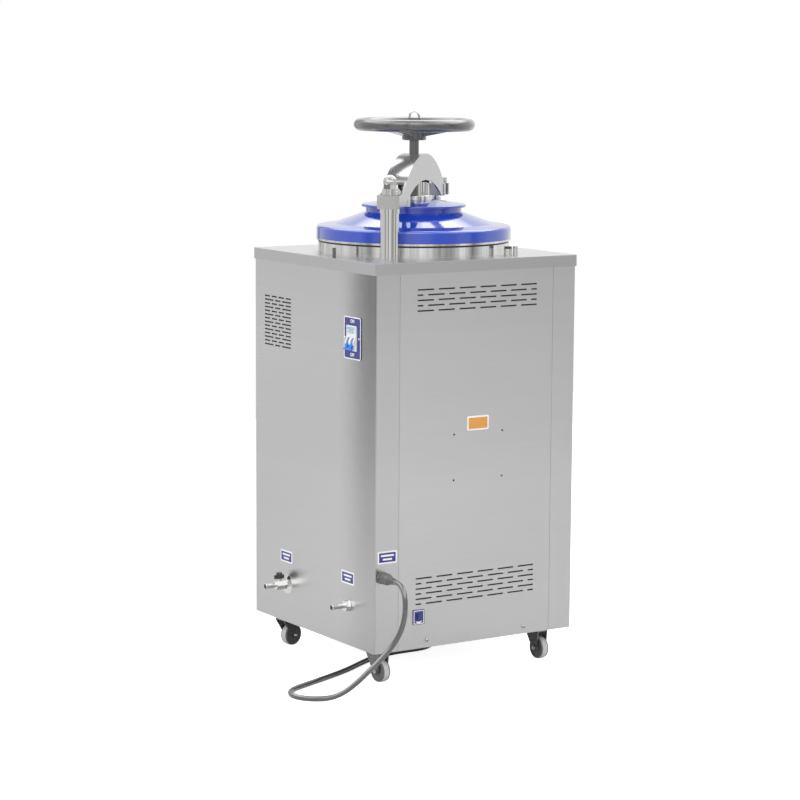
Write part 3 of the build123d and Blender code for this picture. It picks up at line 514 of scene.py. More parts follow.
def smudged_and_painted_reflection(made, shaded):
    """The side sheet with painted shade by height, and a painted dark reflection with mottled smudges
    towards its near bend.
    """
    smudge_and_reflection = made.effect(corner_smudge_and_painted_reflection_group, Start=SMUDGE_AND_PAINTED_REFLECTION_START, End=SMUDGE_AND_PAINTED_REFLECTION_END)
    return made.scaled(painted_height_shade(made, shaded), made.between(smudge_and_reflection.outputs["Mask"], 0.96, SMUDGE_AND_PAINTED_REFLECTION_SHADE))


def lip_painted_shade(made, shaded):
    """The top cover with painted shade on its folded lip, a little darker than its top."""
    shade = spread(made.tree, made.height(), CAP_TOP - 0.002, CAP_TOP - 0.0006, LIP_SHADE, 1.0)
    return made.scaled(shaded, shade)


def moulding(name, base, rough, depth, grain=900.0, drift=14.0, **values):
    """Moulded plastic, rubber, casting or paint with a fine even grain."""
    made = Finish(name, **values)
    texture = made.effect(moulded_grain_group, Grain_Scale=grain, Drift_Scale=drift)
    made.feed(Base_Color=made.tint(texture.outputs["Tone"], base, 0.82, 1.18))
    made.feed(Roughness=made.between(texture.outputs["Tone"], rough - 0.06, rough + 0.08))
    made.bump(texture.outputs["Height"], depth, 0.0003)
    return made.material


def enamel(name, base):
    """Thick gloss enamel, with the slight waviness of sprayed paint under a clear top."""
    made = Finish(name, **{"Coat Weight": 1.0, "Coat Roughness": 0.04, "IOR": 1.5})
    texture = made.effect(moulded_grain_group, Grain_Scale=160.0, Drift_Scale=9.0)
    marks = made.effect(handling_marks_group, Cloud_Scale=7.0, Speckle_Scale=420.0, Amount=0.4)
    made.feed(Base_Color=made.tint(texture.outputs["Tone"], base, 0.94, 1.06))
    made.feed(Roughness=made.between(marks.outputs["Mask"], 0.12, 0.24))
    made.bump(texture.outputs["Height"], 0.05, 0.0002)
    return made.material


def finishes(colours):
    """Every finish of the autoclave by its short name, built once."""
    if MATERIALS:
        return MATERIALS
    upright = (700.0, 700.0, 9.0)
    across = (9.0, 9.0, 700.0)
    MATERIALS.update(
        sheet=steel("Brushed Sheet", colours.sheet, across, (0.24, 0.36), 0.06, tone=painted_height_shade),
        side_sheet=steel("Side Sheet", colours.sheet, across, (0.24, 0.36), 0.06, tone=smudged_and_painted_reflection),
        cap=steel("Brushed Cap", colours.cap, (9.0, 700.0, 700.0), (0.22, 0.34), 0.06, tone=lip_painted_shade),
        polished=steel("Polished Steel", colours.polished, upright, (0.04, 0.10), 0.02, 0.2),
        arm=steel("Arm Plate", colours.arm, (300.0, 300.0, 20.0), (0.12, 0.22), 0.03, 0.3, 0.78),
        screw=steel("Screw Steel", colours.screw, upright, (0.10, 0.18), 0.02, 0.2),
        turned=steel(
            "Turned Steel", colours.polished, (60.0, 60.0, 2600.0), (0.10, 0.20), 0.05, 0.2, tone=painted_reflection_streaks
        ),
        casting=moulding(
            "Handwheel Paint", colours.casting, 0.30, 0.10, 420.0, 30.0,
            **{"Metallic": 0.35, "Coat Weight": 1.0, "Coat Roughness": 0.05}
        ),
        spindle=moulding("Screw Plating", colours.spindle, 0.24, 0.06, 500.0, 30.0, Metallic=0.7),
        enamel=enamel("Lid Enamel", colours.enamel),
        navy=moulding("Navy Print", colours.navy, 0.32, 0.02),
        edge=moulding("Pale Print", colours.edge, 0.34, 0.02),
        orange=moulding("Orange Print", colours.orange, 0.34, 0.02),
        pale_plastic=moulding("Pale Plastic", colours.pale_plastic, 0.28, 0.04),
        lever=moulding("Blue Plastic", colours.lever, 0.24, 0.04),
        black_plastic=moulding("Black Plastic", colours.black_plastic, 0.42, 0.10),
        gland=moulding("Gland Plastic", colours.gland, 0.42, 0.08),
        sheath=moulding(
            "Lead Sheath", colours.sheath, 0.15, 0.03, 600.0, 8.0,
            **{"Metallic": 0.6, "Coat Weight": 0.8, "Coat Roughness": 0.03}
        ),
        print_ground=moulding("Breaker Print", colours.print_ground, 0.30, 0.02),
        print_line=moulding("Breaker Lines", colours.print_line, 0.34, 0.02),
        castor=moulding("Castor Pressing", colours.castor, 0.26, 0.08, 700.0, 40.0, Metallic=0.6),
        wheel=moulding("Castor Wheel", colours.wheel, 0.42, 0.06),
        tread=moulding("Castor Tread", colours.tread, 0.50, 0.10),
        seal=moulding("Silicone Seal", colours.seal, 0.50, 0.06),
    )
    return MATERIALS


NODE_FINISH = {
    "right_side_panel": "side_sheet",
    "left_side_panel": "sheet",
    "back_panel": "sheet",
    "front_panel": "sheet",
    "base_tray": "sheet",
    "top_cover": "cap",
    "chamber": "turned",
    "flange_ring": "turned",
    "gasket": "seal",
    "lid_plate": "turned",
    "lid_cover": "enamel",
    "lid_collar": "turned",
    "guide_rods": "polished",
    "hinge_post": "polished",
    "post_nut": "polished",
    "latch_post": "polished",
    "bridge_arm": "arm",
    "spindle": "spindle",
    "handwheel": "casting",
    "wheel_eye": "polished",
    "lock_pin": "spindle",
    "vent_stub": "turned",
    "vent_cap": "black_plastic",
    "guard_stud": "turned",
    "switch_plate": "navy",
    "breaker_body": "pale_plastic",
    "breaker_lever": "lever",
    "drain_valve": "polished",
    "valve_handle": "black_plastic",
    "air_outlet": "polished",
    "reset_plate": "navy",
    "reset_button": "navy",
    "castor_plates": "castor",
    "cable_gland": "gland",
    "power_cable": "sheath",
    "cable_coil": "sheath",
    "power_plug": "black_plastic",
}


def finish_of(name):
    """The finish of a node of the model, by its name or by what kind of castor piece it is."""
    if name.endswith("castor_fork"):
        return "castor"
    if name.endswith("castor_wheel"):
        return "wheel"
    return NODE_FINISH[name]


def new_piece(name, mesh, body, materials):
    """Links a mesh as a piece that rides on a body."""
    piece = bpy.data.objects.new(name, mesh)
    bpy.context.scene.collection.objects.link(piece)
    for material in materials:
        mesh.materials.append(material)
    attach(piece, body)
    return piece


def face_place(face, u, height):
    """The matrix of a place on a cabinet face, seen from outside: right, up and out are X, Y and Z."""
    if face == "right":
        right, out = Vector((0, 1, 0)), Vector((1, 0, 0))
        start = Vector((RIGHT_FACE, u, FOOT + height))
    else:
        right, out = Vector((-1, 0, 0)), Vector((0, 1, 0))
        start = Vector((AXIS_X + u, BACK_FACE, FOOT + height))
    up = Vector((0, 0, 1))
    return Matrix.Translation(start) @ Matrix((right, up, out)).transposed().to_4x4()


def rounded_outline(width, height, corner, steps=6):
    """Points round a rectangle with rounded corners, counter-clockwise."""
    points = []
    for number, (sx, sy) in enumerate(((1, 1), (-1, 1), (-1, -1), (1, -1))):
        centre = Vector((sx * (width / 2 - corner), sy * (height / 2 - corner)))
        for step in range(steps + 1):
            angle = pi / 2 * (number + step / steps)
            points.append(centre + corner * Vector((cos(angle), sin(angle))))
    return points


def add_slab(bm, outline, low, high, index, shift=(0.0, 0.0)):
    """A closed flat slab with that outline, between two heights, with one material."""
    lower = [bm.verts.new((p.x + shift[0], p.y + shift[1], low)) for p in outline]
    upper = [bm.verts.new((p.x + shift[0], p.y + shift[1], high)) for p in outline]
    faces = [bm.faces.new(upper), bm.faces.new(list(reversed(lower)))]
    for i in range(len(outline)):
        j = (i + 1) % len(outline)
        faces.append(bm.faces.new((lower[i], lower[j], upper[j], upper[i])))
    for face in faces:
        face.material_index = index


def add_frame(bm, outer, inner, low, high, index=0):
    """A closed flat frame between two outlines of as many points, between two heights."""
    rings = [[bm.verts.new((p.x, p.y, z)) for p in line] for line, z in
             ((outer, low), (outer, high), (inner, high), (inner, low))]
    for ring, after in zip(rings, rings[1:] + rings[:1]):
        for i in range(len(ring)):
            j = (i + 1) % len(ring)
            bm.faces.new((ring[i], ring[j], after[j], after[i])).material_index = index


def lathe(bm, profile, steps=40, band=None):
    """Turns a profile of (radius, height) about Z; band gives a face's material by its radius."""
    rings = []
    for radius, height in profile:
        turns = [2 * pi * step / steps for step in range(steps)] if radius else [0.0]
        rings.append([bm.verts.new((radius * cos(turn), radius * sin(turn), height)) for turn in turns])
    if profile[0] == profile[-1]:
        bmesh.ops.delete(bm, geom=rings[-1], context="VERTS")
        rings[-1] = rings[0]
    for number in range(len(profile) - 1):
        low, high = rings[number], rings[number + 1]
        middle = (profile[number][0] + profile[number + 1][0]) / 2
        for i in range(steps):
            j = (i + 1) % steps
            corners = [low[i % len(low)], low[j % len(low)], high[j % len(high)], high[i % len(high)]]
            face = bm.faces.new(list(dict.fromkeys(corners)))
            face.smooth = True
            face.material_index = band(middle) if band else 0


def facing(origin, direction):
    """The matrix that stands a piece made along Z at a place, along a direction."""
    turn = Vector(direction).to_track_quat("Z", "Y").to_matrix().to_4x4()
    return Matrix.Translation(origin) @ turn


def made_piece(name, bm, place, body, finish_names, context):
    """Moves finished mesh code to its place and makes it a piece with crisp edges."""
    bm.transform(place)
    mesh = bpy.data.meshes.new(name)
    bm.to_mesh(mesh)
    bm.free()
    mesh.set_sharp_from_angle(angle=radians(32))
    made = finishes(context.scene.autoclave_colours)
    return new_piece(name, mesh, body, [made[finish] for finish in finish_names])


def lettering(name, words, height, place, body, finish, context):
    """Raised words of plain lettering, centred on their place."""
    curve = bpy.data.curves.new(name, "FONT")
    curve.body = words
    curve.size = height * 1.4
    curve.align_x = "CENTER"
    curve.align_y = "CENTER"
    curve.extrude = 0.00005
    curve.offset = height * 0.045
    draft = bpy.data.objects.new(name, curve)
    mesh = bpy.data.meshes.new_from_object(draft)
    bpy.data.objects.remove(draft)
    mesh.transform(place)
    mesh.materials.clear()
    return new_piece(name, mesh, body, [finishes(context.scene.autoclave_colours)[finish]])


def printed_plate(name, place, width, height, marks, ground, context):
    """A plate with a pale edge, a printed ground and plain pale marks, each a size and a shift."""
    sizes = context.scene.autoclave_sizes
    bm = bmesh.new()
    top = sizes.label_thickness
    ink = top + INK
    add_slab(bm, rounded_outline(width, height, LABEL_CORNER), 0.0, top, 0)
    inner = (width - 2 * sizes.label_edge, height - 2 * sizes.label_edge)
    add_slab(bm, rounded_outline(*inner, LABEL_CORNER / 3), top, ink, 1)
    for mark_width, mark_height, x, y in marks:
        outline = rounded_outline(mark_width, mark_height, mark_height * 0.3)
        add_slab(bm, outline, ink, ink + INK, 2, (x, y))
    return made_piece(name, bm, place, "cabinet", ("edge", ground, "edge"), context)


def rim_on_plate(name, place, width, height, rim, corner, finish, context):
    """A thin rim round a plate."""
    bm = bmesh.new()
    outer = rounded_outline(width, height, corner)
    inner = rounded_outline(width - 2 * rim, height - 2 * rim, corner - 0.7 * rim)
    add_frame(bm, outer, inner, 0.0, MARK_RISE)
    return made_piece(name, bm, place, "cabinet", (finish,), context)


# Geometry Nodes for what repeats


def repeat_tree(name, inputs):
    """An empty Geometry Nodes tree with a geometry input and output and the named inputs."""
    tree = bpy.data.node_groups.new(name, "GeometryNodeTree")
    tree.interface.new_socket("Geometry", in_out="INPUT", socket_type="NodeSocketGeometry")
    for label, kind in inputs:
        tree.interface.new_socket(label, in_out="INPUT", socket_type=kind)
    tree.interface.new_socket("Geometry", in_out="OUTPUT", socket_type="NodeSocketGeometry")
    return tree, tree.nodes.new("NodeGroupInput").outputs, tree.nodes.new("NodeGroupOutput").inputs


def close_tree(tree, instances, finish, out):
    """Ends a tree in real geometry with one material."""
    real = node(tree, "GeometryNodeRealizeInstances", {0: instances})
    painted = node(tree, "GeometryNodeSetMaterial", {"Geometry": real.outputs[0], "Material": finish})
    tree.links.new(painted.outputs[0], out["Geometry"])
    return tree


def fastener_tree():
    """A head on every point of the host, turned to the point's facing and by a random turn about it."""
    tree, given, out = repeat_tree(
        "Fastener Set",
        [
            ("Head", "NodeSocketObject"),
            ("Size", "NodeSocketFloat"),
            ("Seed", "NodeSocketInt"),
            ("Finish", "NodeSocketMaterial"),
        ],
    )
    head = node(tree, "GeometryNodeObjectInfo", {"Object": given["Head"]})
    named = node(tree, "GeometryNodeInputNamedAttribute", {"Name": "facing"}, data_type="FLOAT_VECTOR")
    turned = node(tree, "FunctionNodeAlignRotationToVector", {"Vector": named.outputs[0]}, axis="Z")
    points = node(
        tree,
        "GeometryNodeInstanceOnPoints",
        {
            "Points": given["Geometry"],
            "Instance": head.outputs["Geometry"],
            "Rotation": turned.outputs[0],
            "Scale": given["Size"],
        },
    )
    chance = node(tree, "FunctionNodeRandomValue", {"Seed": given["Seed"]}, data_type="FLOAT")
    about = node(tree, "ShaderNodeCombineXYZ", {"Z": maths(tree, "MULTIPLY", chance.outputs[1], 2 * pi)})
    turns = {"Instances": points.outputs[0], "Rotation": about.outputs[0]}
    spun = node(tree, "GeometryNodeRotateInstances", turns)
    return close_tree(tree, spun.outputs[0], given["Finish"], out)


def rib_tree():
    """Round ribs along Z, evenly spaced about it."""
    tree, given, out = repeat_tree(
        "Grip Ribs",
        [
            ("Count", "NodeSocketInt"),
            ("Radius", "NodeSocketFloat"),
            ("Rib Radius", "NodeSocketFloat"),
            ("Rib Length", "NodeSocketFloat"),
            ("Finish", "NodeSocketMaterial"),
        ],
    )
    ring = node(tree, "GeometryNodeMeshCircle", {"Vertices": given["Count"], "Radius": given["Radius"]})
    rib = node(
        tree,
        "GeometryNodeMeshCylinder",
        {"Vertices": 10, "Radius": given["Rib Radius"], "Depth": given["Rib Length"]},
    )
    places = {"Points": ring.outputs[0], "Instance": rib.outputs["Mesh"]}
    ribs = node(tree, "GeometryNodeInstanceOnPoints", places)
    return close_tree(tree, ribs.outputs[0], given["Finish"], out)


def grown_mesh(host, tree, values):
    """The plain mesh that a tree grows on a host, with the modifier gone again."""
    modifier = host.modifiers.new(tree.name, "NODES")
    modifier.node_group = tree
    for item in tree.interface.items_tree:
        if item.in_out == "INPUT" and item.name in values:
            modifier[item.identifier] = values[item.name]
    depsgraph = bpy.context.evaluated_depsgraph_get()
    mesh = bpy.data.meshes.new_from_object(host.evaluated_get(depsgraph), depsgraph=depsgraph)
    host.modifiers.clear()
    return mesh


def host_of(name, places=()):
    """A host object for a tree, with a point and a facing for each place."""
    mesh = bpy.data.meshes.new(name)
    mesh.from_pydata([origin for origin, direction in places], [], [])
    if places:
        towards = mesh.attributes.new("facing", "FLOAT_VECTOR", "POINT")
        for item, (origin, direction) in zip(towards.data, places):
            item.vector = direction
    host = bpy.data.objects.new(name, mesh)
    bpy.context.scene.collection.objects.link(host)
    return host


def add_fasteners(name, kind, size, places, body, finish, context, steps=20):
    """One piece of like fasteners on a body, grown by Geometry Nodes."""
    bm = bmesh.new()
    lathe(bm, HEADS[kind], steps)
    head_mesh = bpy.data.meshes.new("head")
    bm.to_mesh(head_mesh)
    bm.free()
    head_mesh.set_sharp_from_angle(angle=radians(40))
    head = bpy.data.objects.new("head", head_mesh)
    bpy.context.scene.collection.objects.link(head)
    if "fasteners" not in TREES:
        TREES["fasteners"] = fastener_tree()
    made = finishes(context.scene.autoclave_colours)[finish]
    host = host_of(name, places)
    values = {"Head": head, "Size": size, "Seed": SEED, "Finish": made}
    mesh = grown_mesh(host, TREES["fasteners"], values)
    bpy.data.objects.remove(head)
    bpy.data.objects.remove(host)
    mesh.materials.clear()
    return new_piece(name, mesh, body, [made])


class AUTOCLAVE_OT_stage(bpy.types.Operator):
    """Add the camera, the pale floor, the soft lights and the backdrop"""

    bl_idname = "autoclave.stage"
    bl_label = "Studio Stage"

    def execute(self, context):
        add_camera(context)
        add_floor(context)
        add_lights(context)
        add_backdrop(context)
        context.scene.view_settings.view_transform = "Standard"
        return {"FINISHED"}


def add_camera(context):
    data = bpy.data.cameras.new("viewpoint")
    data.lens = CAMERA_LENS
    data.sensor_width = SENSOR_WIDTH
    data.clip_end = 200.0
    camera = bpy.data.objects.new("viewpoint", data)
    turn = (
        Matrix.Rotation(radians(CAMERA_YAW), 4, "Z")
        @ Matrix.Rotation(radians(90 - CAMERA_DIP), 4, "X")
        @ Matrix.Rotation(radians(CAMERA_ROLL), 4, "Z")
    )
    camera.matrix_world = Matrix.Translation(CAMERA_PLACE) @ turn
    context.scene.collection.objects.link(camera)
    context.scene.camera = camera


def add_floor(context):
    half = context.scene.autoclave_sizes.floor_size / 2
    mesh = bpy.data.meshes.new("studio_floor")
    corners = [(-half, -half, 0), (half, -half, 0), (half, half, 0), (-half, half, 0)]
    mesh.from_pydata(corners, [], [(0, 1, 2, 3)])
    floor = bpy.data.objects.new("studio_floor", mesh)
    context.scene.collection.objects.link(floor)
    material = bpy.data.materials.new("Studio Floor")
    material.use_nodes = True
    tree = material.node_tree
    tree.nodes.clear()
    matt = node(tree, "ShaderNodeBsdfDiffuse", {"Color": FLOOR_TONE})
    path = tree.nodes.new("ShaderNodeLightPath").outputs
    lifted = maths(tree, "MULTIPLY", path["Is Glossy Ray"], FLOOR_MIRRORED)
    seen = maths(tree, "MULTIPLY_ADD", path["Is Camera Ray"], FLOOR_SEEN, lifted)
    glow = node(tree, "ShaderNodeEmission", {"Color": WHITE, "Strength": seen})
    both = node(tree, "ShaderNodeAddShader", {0: matt.outputs[0], 1: glow.outputs[0]})
    output = tree.nodes.new("ShaderNodeOutputMaterial")
    tree.links.new(both.outputs[0], output.inputs["Surface"])
    mesh.materials.append(material)


def add_lights(context):
    """Large soft lamps: overhead, behind the lid, and one at each seen side."""
    for name, start, target, side, power in LAMPS:
        data = bpy.data.lights.new(name, "AREA")
        data.shape = "SQUARE"
        data.size = side
        data.energy = power
        lamp = bpy.data.objects.new(name, data)
        lamp.location = start
        aim = Vector(target) - Vector(start)
        lamp.rotation_euler = aim.to_track_quat("-Z", "Y").to_euler()
        lamp.visible_glossy = False
        context.scene.collection.objects.link(lamp)


def ramp_of(tree, value, stops):
    """A grey ramp with those places and levels."""
    made = tree.nodes.new("ShaderNodeValToRGB")
    tree.links.new(value, made.inputs["Fac"])
    elements = made.color_ramp.elements
    for number, (place, level) in enumerate(stops):
        stop = elements[number] if number < 2 else elements.new(place)
        stop.position = place
        stop.color = (level, level, level, 1.0)
    return made


def add_backdrop(context):
    """A world that is white to the eye, a room with dark gaps in reflections, and dimmer as a light."""
    world = bpy.data.worlds.new("Studio")
    context.scene.world = world
    world.use_nodes = True
    tree = world.node_tree
    tree.nodes.clear()
    direction = tree.nodes.new("ShaderNodeTexCoord").outputs["Generated"]
    parts = node(tree, "ShaderNodeSeparateXYZ", {0: direction}).outputs
    heading = spread(tree, maths(tree, "ARCTAN2", parts["Y"], parts["X"]), -pi, pi)
    upward = spread(tree, parts["Z"], -1.0, 1.0)
    walls = ramp_of(tree, heading, [((angle + 180) / 360, level) for angle, level in ROOM_WALLS])
    rise = ramp_of(tree, upward, [((sin(radians(angle)) + 1) / 2, level) for angle, level in ROOM_RISE])
    shaded = node(
        tree,
        "ShaderNodeMix",
        {"Factor": 1.0, "A": walls.outputs["Color"], "B": rise.outputs["Color"]},
        data_type="RGBA",
        blend_type="MULTIPLY",
    )
    path = tree.nodes.new("ShaderNodeLightPath").outputs
    mirrored = maths(tree, "MAXIMUM", path["Is Glossy Ray"], path["Is Transmission Ray"])
    light, room, white = [
        node(tree, "ShaderNodeBackground", {"Color": tone, "Strength": level}).outputs[0]
        for tone, level in ((WHITE, FILL_LEVEL), (shaded.outputs["Result"], ROOM_LEVEL), (WHITE, 1.0))
    ]
    first = node(tree, "ShaderNodeMixShader", {0: mirrored, 1: light, 2: room}).outputs[0]
    last = node(tree, "ShaderNodeMixShader", {0: path["Is Camera Ray"], 1: first, 2: white}).outputs[0]
    output = tree.nodes.new("ShaderNodeOutputWorld")
    tree.links.new(last, output.inputs["Surface"])


class AUTOCLAVE_OT_finishes(bpy.types.Operator):
    """Give every node of the model its finish"""

    bl_idname = "autoclave.finishes"
    bl_label = "Model Finishes"

    def execute(self, context):
        made = finishes(context.scene.autoclave_colours)
        for name, part in NODES.items():
            part.data.materials.clear()
            part.data.materials.append(made[finish_of(name)])
        return {"FINISHED"}


class AUTOCLAVE_OT_lead(bpy.types.Operator):
    """Add the mains lead, with its coil, on one smooth line"""

    bl_idname = "autoclave.lead"
    bl_label = "Mains Lead"

    def execute(self, context):
        sizes = context.scene.autoclave_sizes
        made = finishes(context.scene.autoclave_colours)
        points = [Vector(p) for p in LEAD_ROUTE] + coil_points() + plug_tail()
        curve = bpy.data.curves.new("mains_lead", "CURVE")
        curve.dimensions = "3D"
        curve.bevel_depth = sizes.lead_radius
        curve.bevel_resolution = 6
        curve.resolution_u = 8
        curve.use_fill_caps = True
        spline = curve.splines.new("NURBS")
        spline.points.add(len(points) - 1)
        for control, point in zip(spline.points, points):
            control.co = (*point, 1.0)
        spline.order_u = 3
        spline.use_endpoint_u = True
        curve.materials.append(made["sheath"])
        lead = bpy.data.objects.new("mains_lead", curve)
        context.scene.collection.objects.link(lead)
        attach(lead, "cabinet")
        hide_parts("power_cable", "cable_coil")
        gland_pieces = add_gland(context)
        return {"FINISHED"}


def coil_points():
    """Turns of the coil: one outside, one inside, and a last quarter that climbs on top of both."""
    points = []
    count = round(COIL_TURNS * COIL_STEPS)
    for step in range(count + 1):
        turn = step / COIL_STEPS
        angle = pi / 2 + 2 * pi * turn
        inward = min(max((turn - 0.75) * 2, 0.0), 1.0)
        radius = COIL_OUTER_TURN + (COIL_INNER_TURN - COIL_OUTER_TURN) * inward
        height = FLOOR_LEVEL
        climb = min(max((turn - 1.75) * 3, 0.0), 1.0)
        radius += (COIL_TOP_TURN - radius) * climb
        height += (TOP_LEVEL - FLOOR_LEVEL) * climb
        points.append(
            Vector((COIL_CENTRE[0] + radius * cos(angle), COIL_CENTRE[1] + radius * sin(angle), height))
        )
    return points


def plug_tail():
    """The last stretch, from the coil into the back of the plug."""
    low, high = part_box("power_plug")
    centre = (low + high) / 2
    return [
        Vector((centre.x, high.y + 0.030, TOP_LEVEL)),
        Vector((centre.x, high.y, centre.z)),
    ]


class AUTOCLAVE_OT_labels(bpy.types.Operator):
    """Add the printed plates, bare but for plain marks"""

    bl_idname = "autoclave.labels"
    bl_label = "Printed Plates"

    def execute(self, context):
        for name, face, across, height, width, tall, marks, ground in LABELS:
            place = face_place(face, across, height)
            printed_plate(name, place, width, tall, marks, ground, context)
        return {"FINISHED"}


class AUTOCLAVE_OT_switch_dress(bpy.types.Operator):
    """Add the main switch's pale rim, its ON and OFF marks, its screws and the breaker's bare label"""

    bl_idname = "autoclave.switch_dress"
    bl_label = "Switch Dress"

    def execute(self, context):
        low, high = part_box("switch_plate")
        centre = (low + high) / 2
        width, height = high.y - low.y, high.z - low.z
        face = face_place("right", centre.y, centre.z - FOOT)
        place = Matrix.Translation((high.x - RIGHT_FACE, 0, 0)) @ face
        bm = bmesh.new()
        add_slab(bm, rounded_outline(width, height, SWITCH_CORNER), low.x - high.x, 0.0, 0)
        plate = made_piece("switch_plate_face", bm, place, "cabinet", ("navy",), context)
        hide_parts("switch_plate")
        rim_on_plate("switch_rim", place, width, height, SWITCH_RIM, SWITCH_CORNER, "edge", context)
        for words, rise in (("ON", SWITCH_MARK_RISE), ("OFF", -SWITCH_MARK_RISE)):
            spot = place @ Matrix.Translation((0, rise, SWITCH_MARK_LIFT))
            name = f"switch_mark_{words.lower()}"
            lettering(name, words, SWITCH_MARK_HEIGHT, spot, "cabinet", "edge", context)
        screws = [(place @ Vector((side * SWITCH_SCREW_SIDE, 0, 0)), (1, 0, 0)) for side in (-1, 1)]
        add_fasteners("switch_screws", "pan", SWITCH_SCREW_RADIUS, screws, "cabinet", "polished", context)
        self.add_breaker_label(context)
        return {"FINISHED"}

    def add_breaker_label(self, context):
        """The printed field on the breaker's upper step, with plain lines."""
        low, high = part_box("breaker_body")
        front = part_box("switch_plate")[1].x + BREAKER_STEP - RIGHT_FACE
        face = face_place("right", (low.y + high.y) / 2, high.z - BREAKER_FIELD_DROP - FOOT)
        place = Matrix.Translation((front, 0, 0)) @ face
        bm = bmesh.new()
        add_slab(bm, rounded_outline(*BREAKER_FIELD, 0.001), 0.0, 0.0002, 0)
        for width, rise in BREAKER_LINES:
            outline = rounded_outline(width, BREAKER_LINE_HEIGHT, 0.0005)
            add_slab(bm, outline, 0.0002, MARK_RISE, 1, (0.0, rise))
        prints = ("print_ground", "print_line")
        made_piece("breaker_label", bm, place, "cabinet", prints, context)


class AUTOCLAVE_OT_reset_dress(bpy.types.Operator):
    """Add the reset plate's rims and a crescent of painted highlight under its button"""

    bl_idname = "autoclave.reset_dress"
    bl_label = "Reset Plate Dress"

    def execute(self, context):
        low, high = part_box("reset_plate")
        centre = (low + high) / 2
        face = face_place("back", centre.x - AXIS_X, centre.z - FOOT)
        place = Matrix.Translation((0, RESET_PLATE_FRONT, 0)) @ face
        width, height = high.x - low.x, high.z - low.z
        rim_on_plate("reset_rim", place, width, height, RESET_RIM, RESET_CORNER, "seal", context)
        width, height = width - 2 * RESET_RIM, height - 2 * RESET_RIM
        rim = (RESET_INNER_RIM, RESET_INNER_CORNER)
        rim_on_plate("reset_inner_rim", place, width, height, *rim, "edge", context)
        # The pale crescent is a painted highlight at the foot of the button
        bm = bmesh.new()
        outline = []
        for bow, direction in zip(CRESCENT_BOWS, (1, -1)):
            for step in range(CRESCENT_STEPS):
                across = direction * (2 * step / CRESCENT_STEPS - 1)
                drop = CRESCENT_DROP + bow * (1 - across * across)
                outline.append(Vector((-across * CRESCENT_REACH, -drop)))
        add_slab(bm, outline, 0.0, MARK_RISE, 0)
        made_piece("reset_mark", bm, place, "cabinet", ("edge",), context)
        return {"FINISHED"}


class AUTOCLAVE_OT_screws(bpy.types.Operator):
    """Add the screws of the back panel and the bolt on the latch head"""

    bl_idname = "autoclave.screws"
    bl_label = "Panel Screws"

    def execute(self, context):
        height = FOOT + PANEL_SCREW_HEIGHT
        spots = [((AXIS_X + across, BACK_FACE, height), (0, 1, 0)) for across in PANEL_SCREW_PLACES]
        radius = context.scene.autoclave_sizes.screw_radius
        add_fasteners("panel_screws", "pan", radius, spots, "cabinet", "screw", context)
        along = Vector((1, 1, 0)).normalized()
        across = Vector((1, -1, 0)).normalized()
        spot = Vector((AXIS_X, 0, FOOT + LATCH_BOLT_HEIGHT))
        spot += LATCH_BOLT_ALONG * along + LATCH_BOLT_ACROSS * across
        bm = bmesh.new()
        lathe(bm, LATCH_BOLT, 24)
        place = Matrix.Translation(spot)
        made_piece("latch_bolt", bm, place, "arm", ("polished",), context)
        return {"FINISHED"}


class AUTOCLAVE_OT_vent_painted_shade(bpy.types.Operator):
    """Add a dark sheet of painted shade behind each slotted vent, inside the sheet"""

    bl_idname = "autoclave.vent_linings"
    bl_label = "Vent Painted Shade"

    def execute(self, context):
        for name, face, across, height, width, tall in VENTS:
            bm = bmesh.new()
            outline = rounded_outline(width, tall, SHADE_SHEET_CORNER)
            add_slab(bm, outline, -VENT_DEPTH - SHADE_SHEET_THICKNESS, -VENT_DEPTH, 0)
            place = face_place(face, across, height)
            # The seal's black here is painted shade inside the cabinet behind the slots
            made_piece(name, bm, place, "cabinet", ("seal",), context)
        return {"FINISHED"}


class AUTOCLAVE_OT_hose_tails(bpy.types.Operator):
    """Add the bead at the tip of each hose tail, and a black disc of painted shade in its bore"""

    bl_idname = "autoclave.hose_tails"
    bl_label = "Hose Tail Beads"

    def execute(self, context):
        for name in ("drain_valve", "air_outlet"):
            low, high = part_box(name)
            tip = Vector((high.x, (low.y + high.y) / 2, (low.z + high.z) / 2))
            # The bore's black disc in the seal finish is painted shade inside the hose tail
            for part, profile, slot, finish in (
                ("bead", HOSE_BEAD, "polished_steel", "polished"),
                ("bore", HOSE_BORE_SHADE, "seal", "seal"),
            ):
                bm = bmesh.new()
                lathe(bm, profile, 32)
                made_piece(f"{name}_{part}", bm, facing(tip, (1, 0, 0)), "cabinet", (finish,), context)
        return {"FINISHED"}


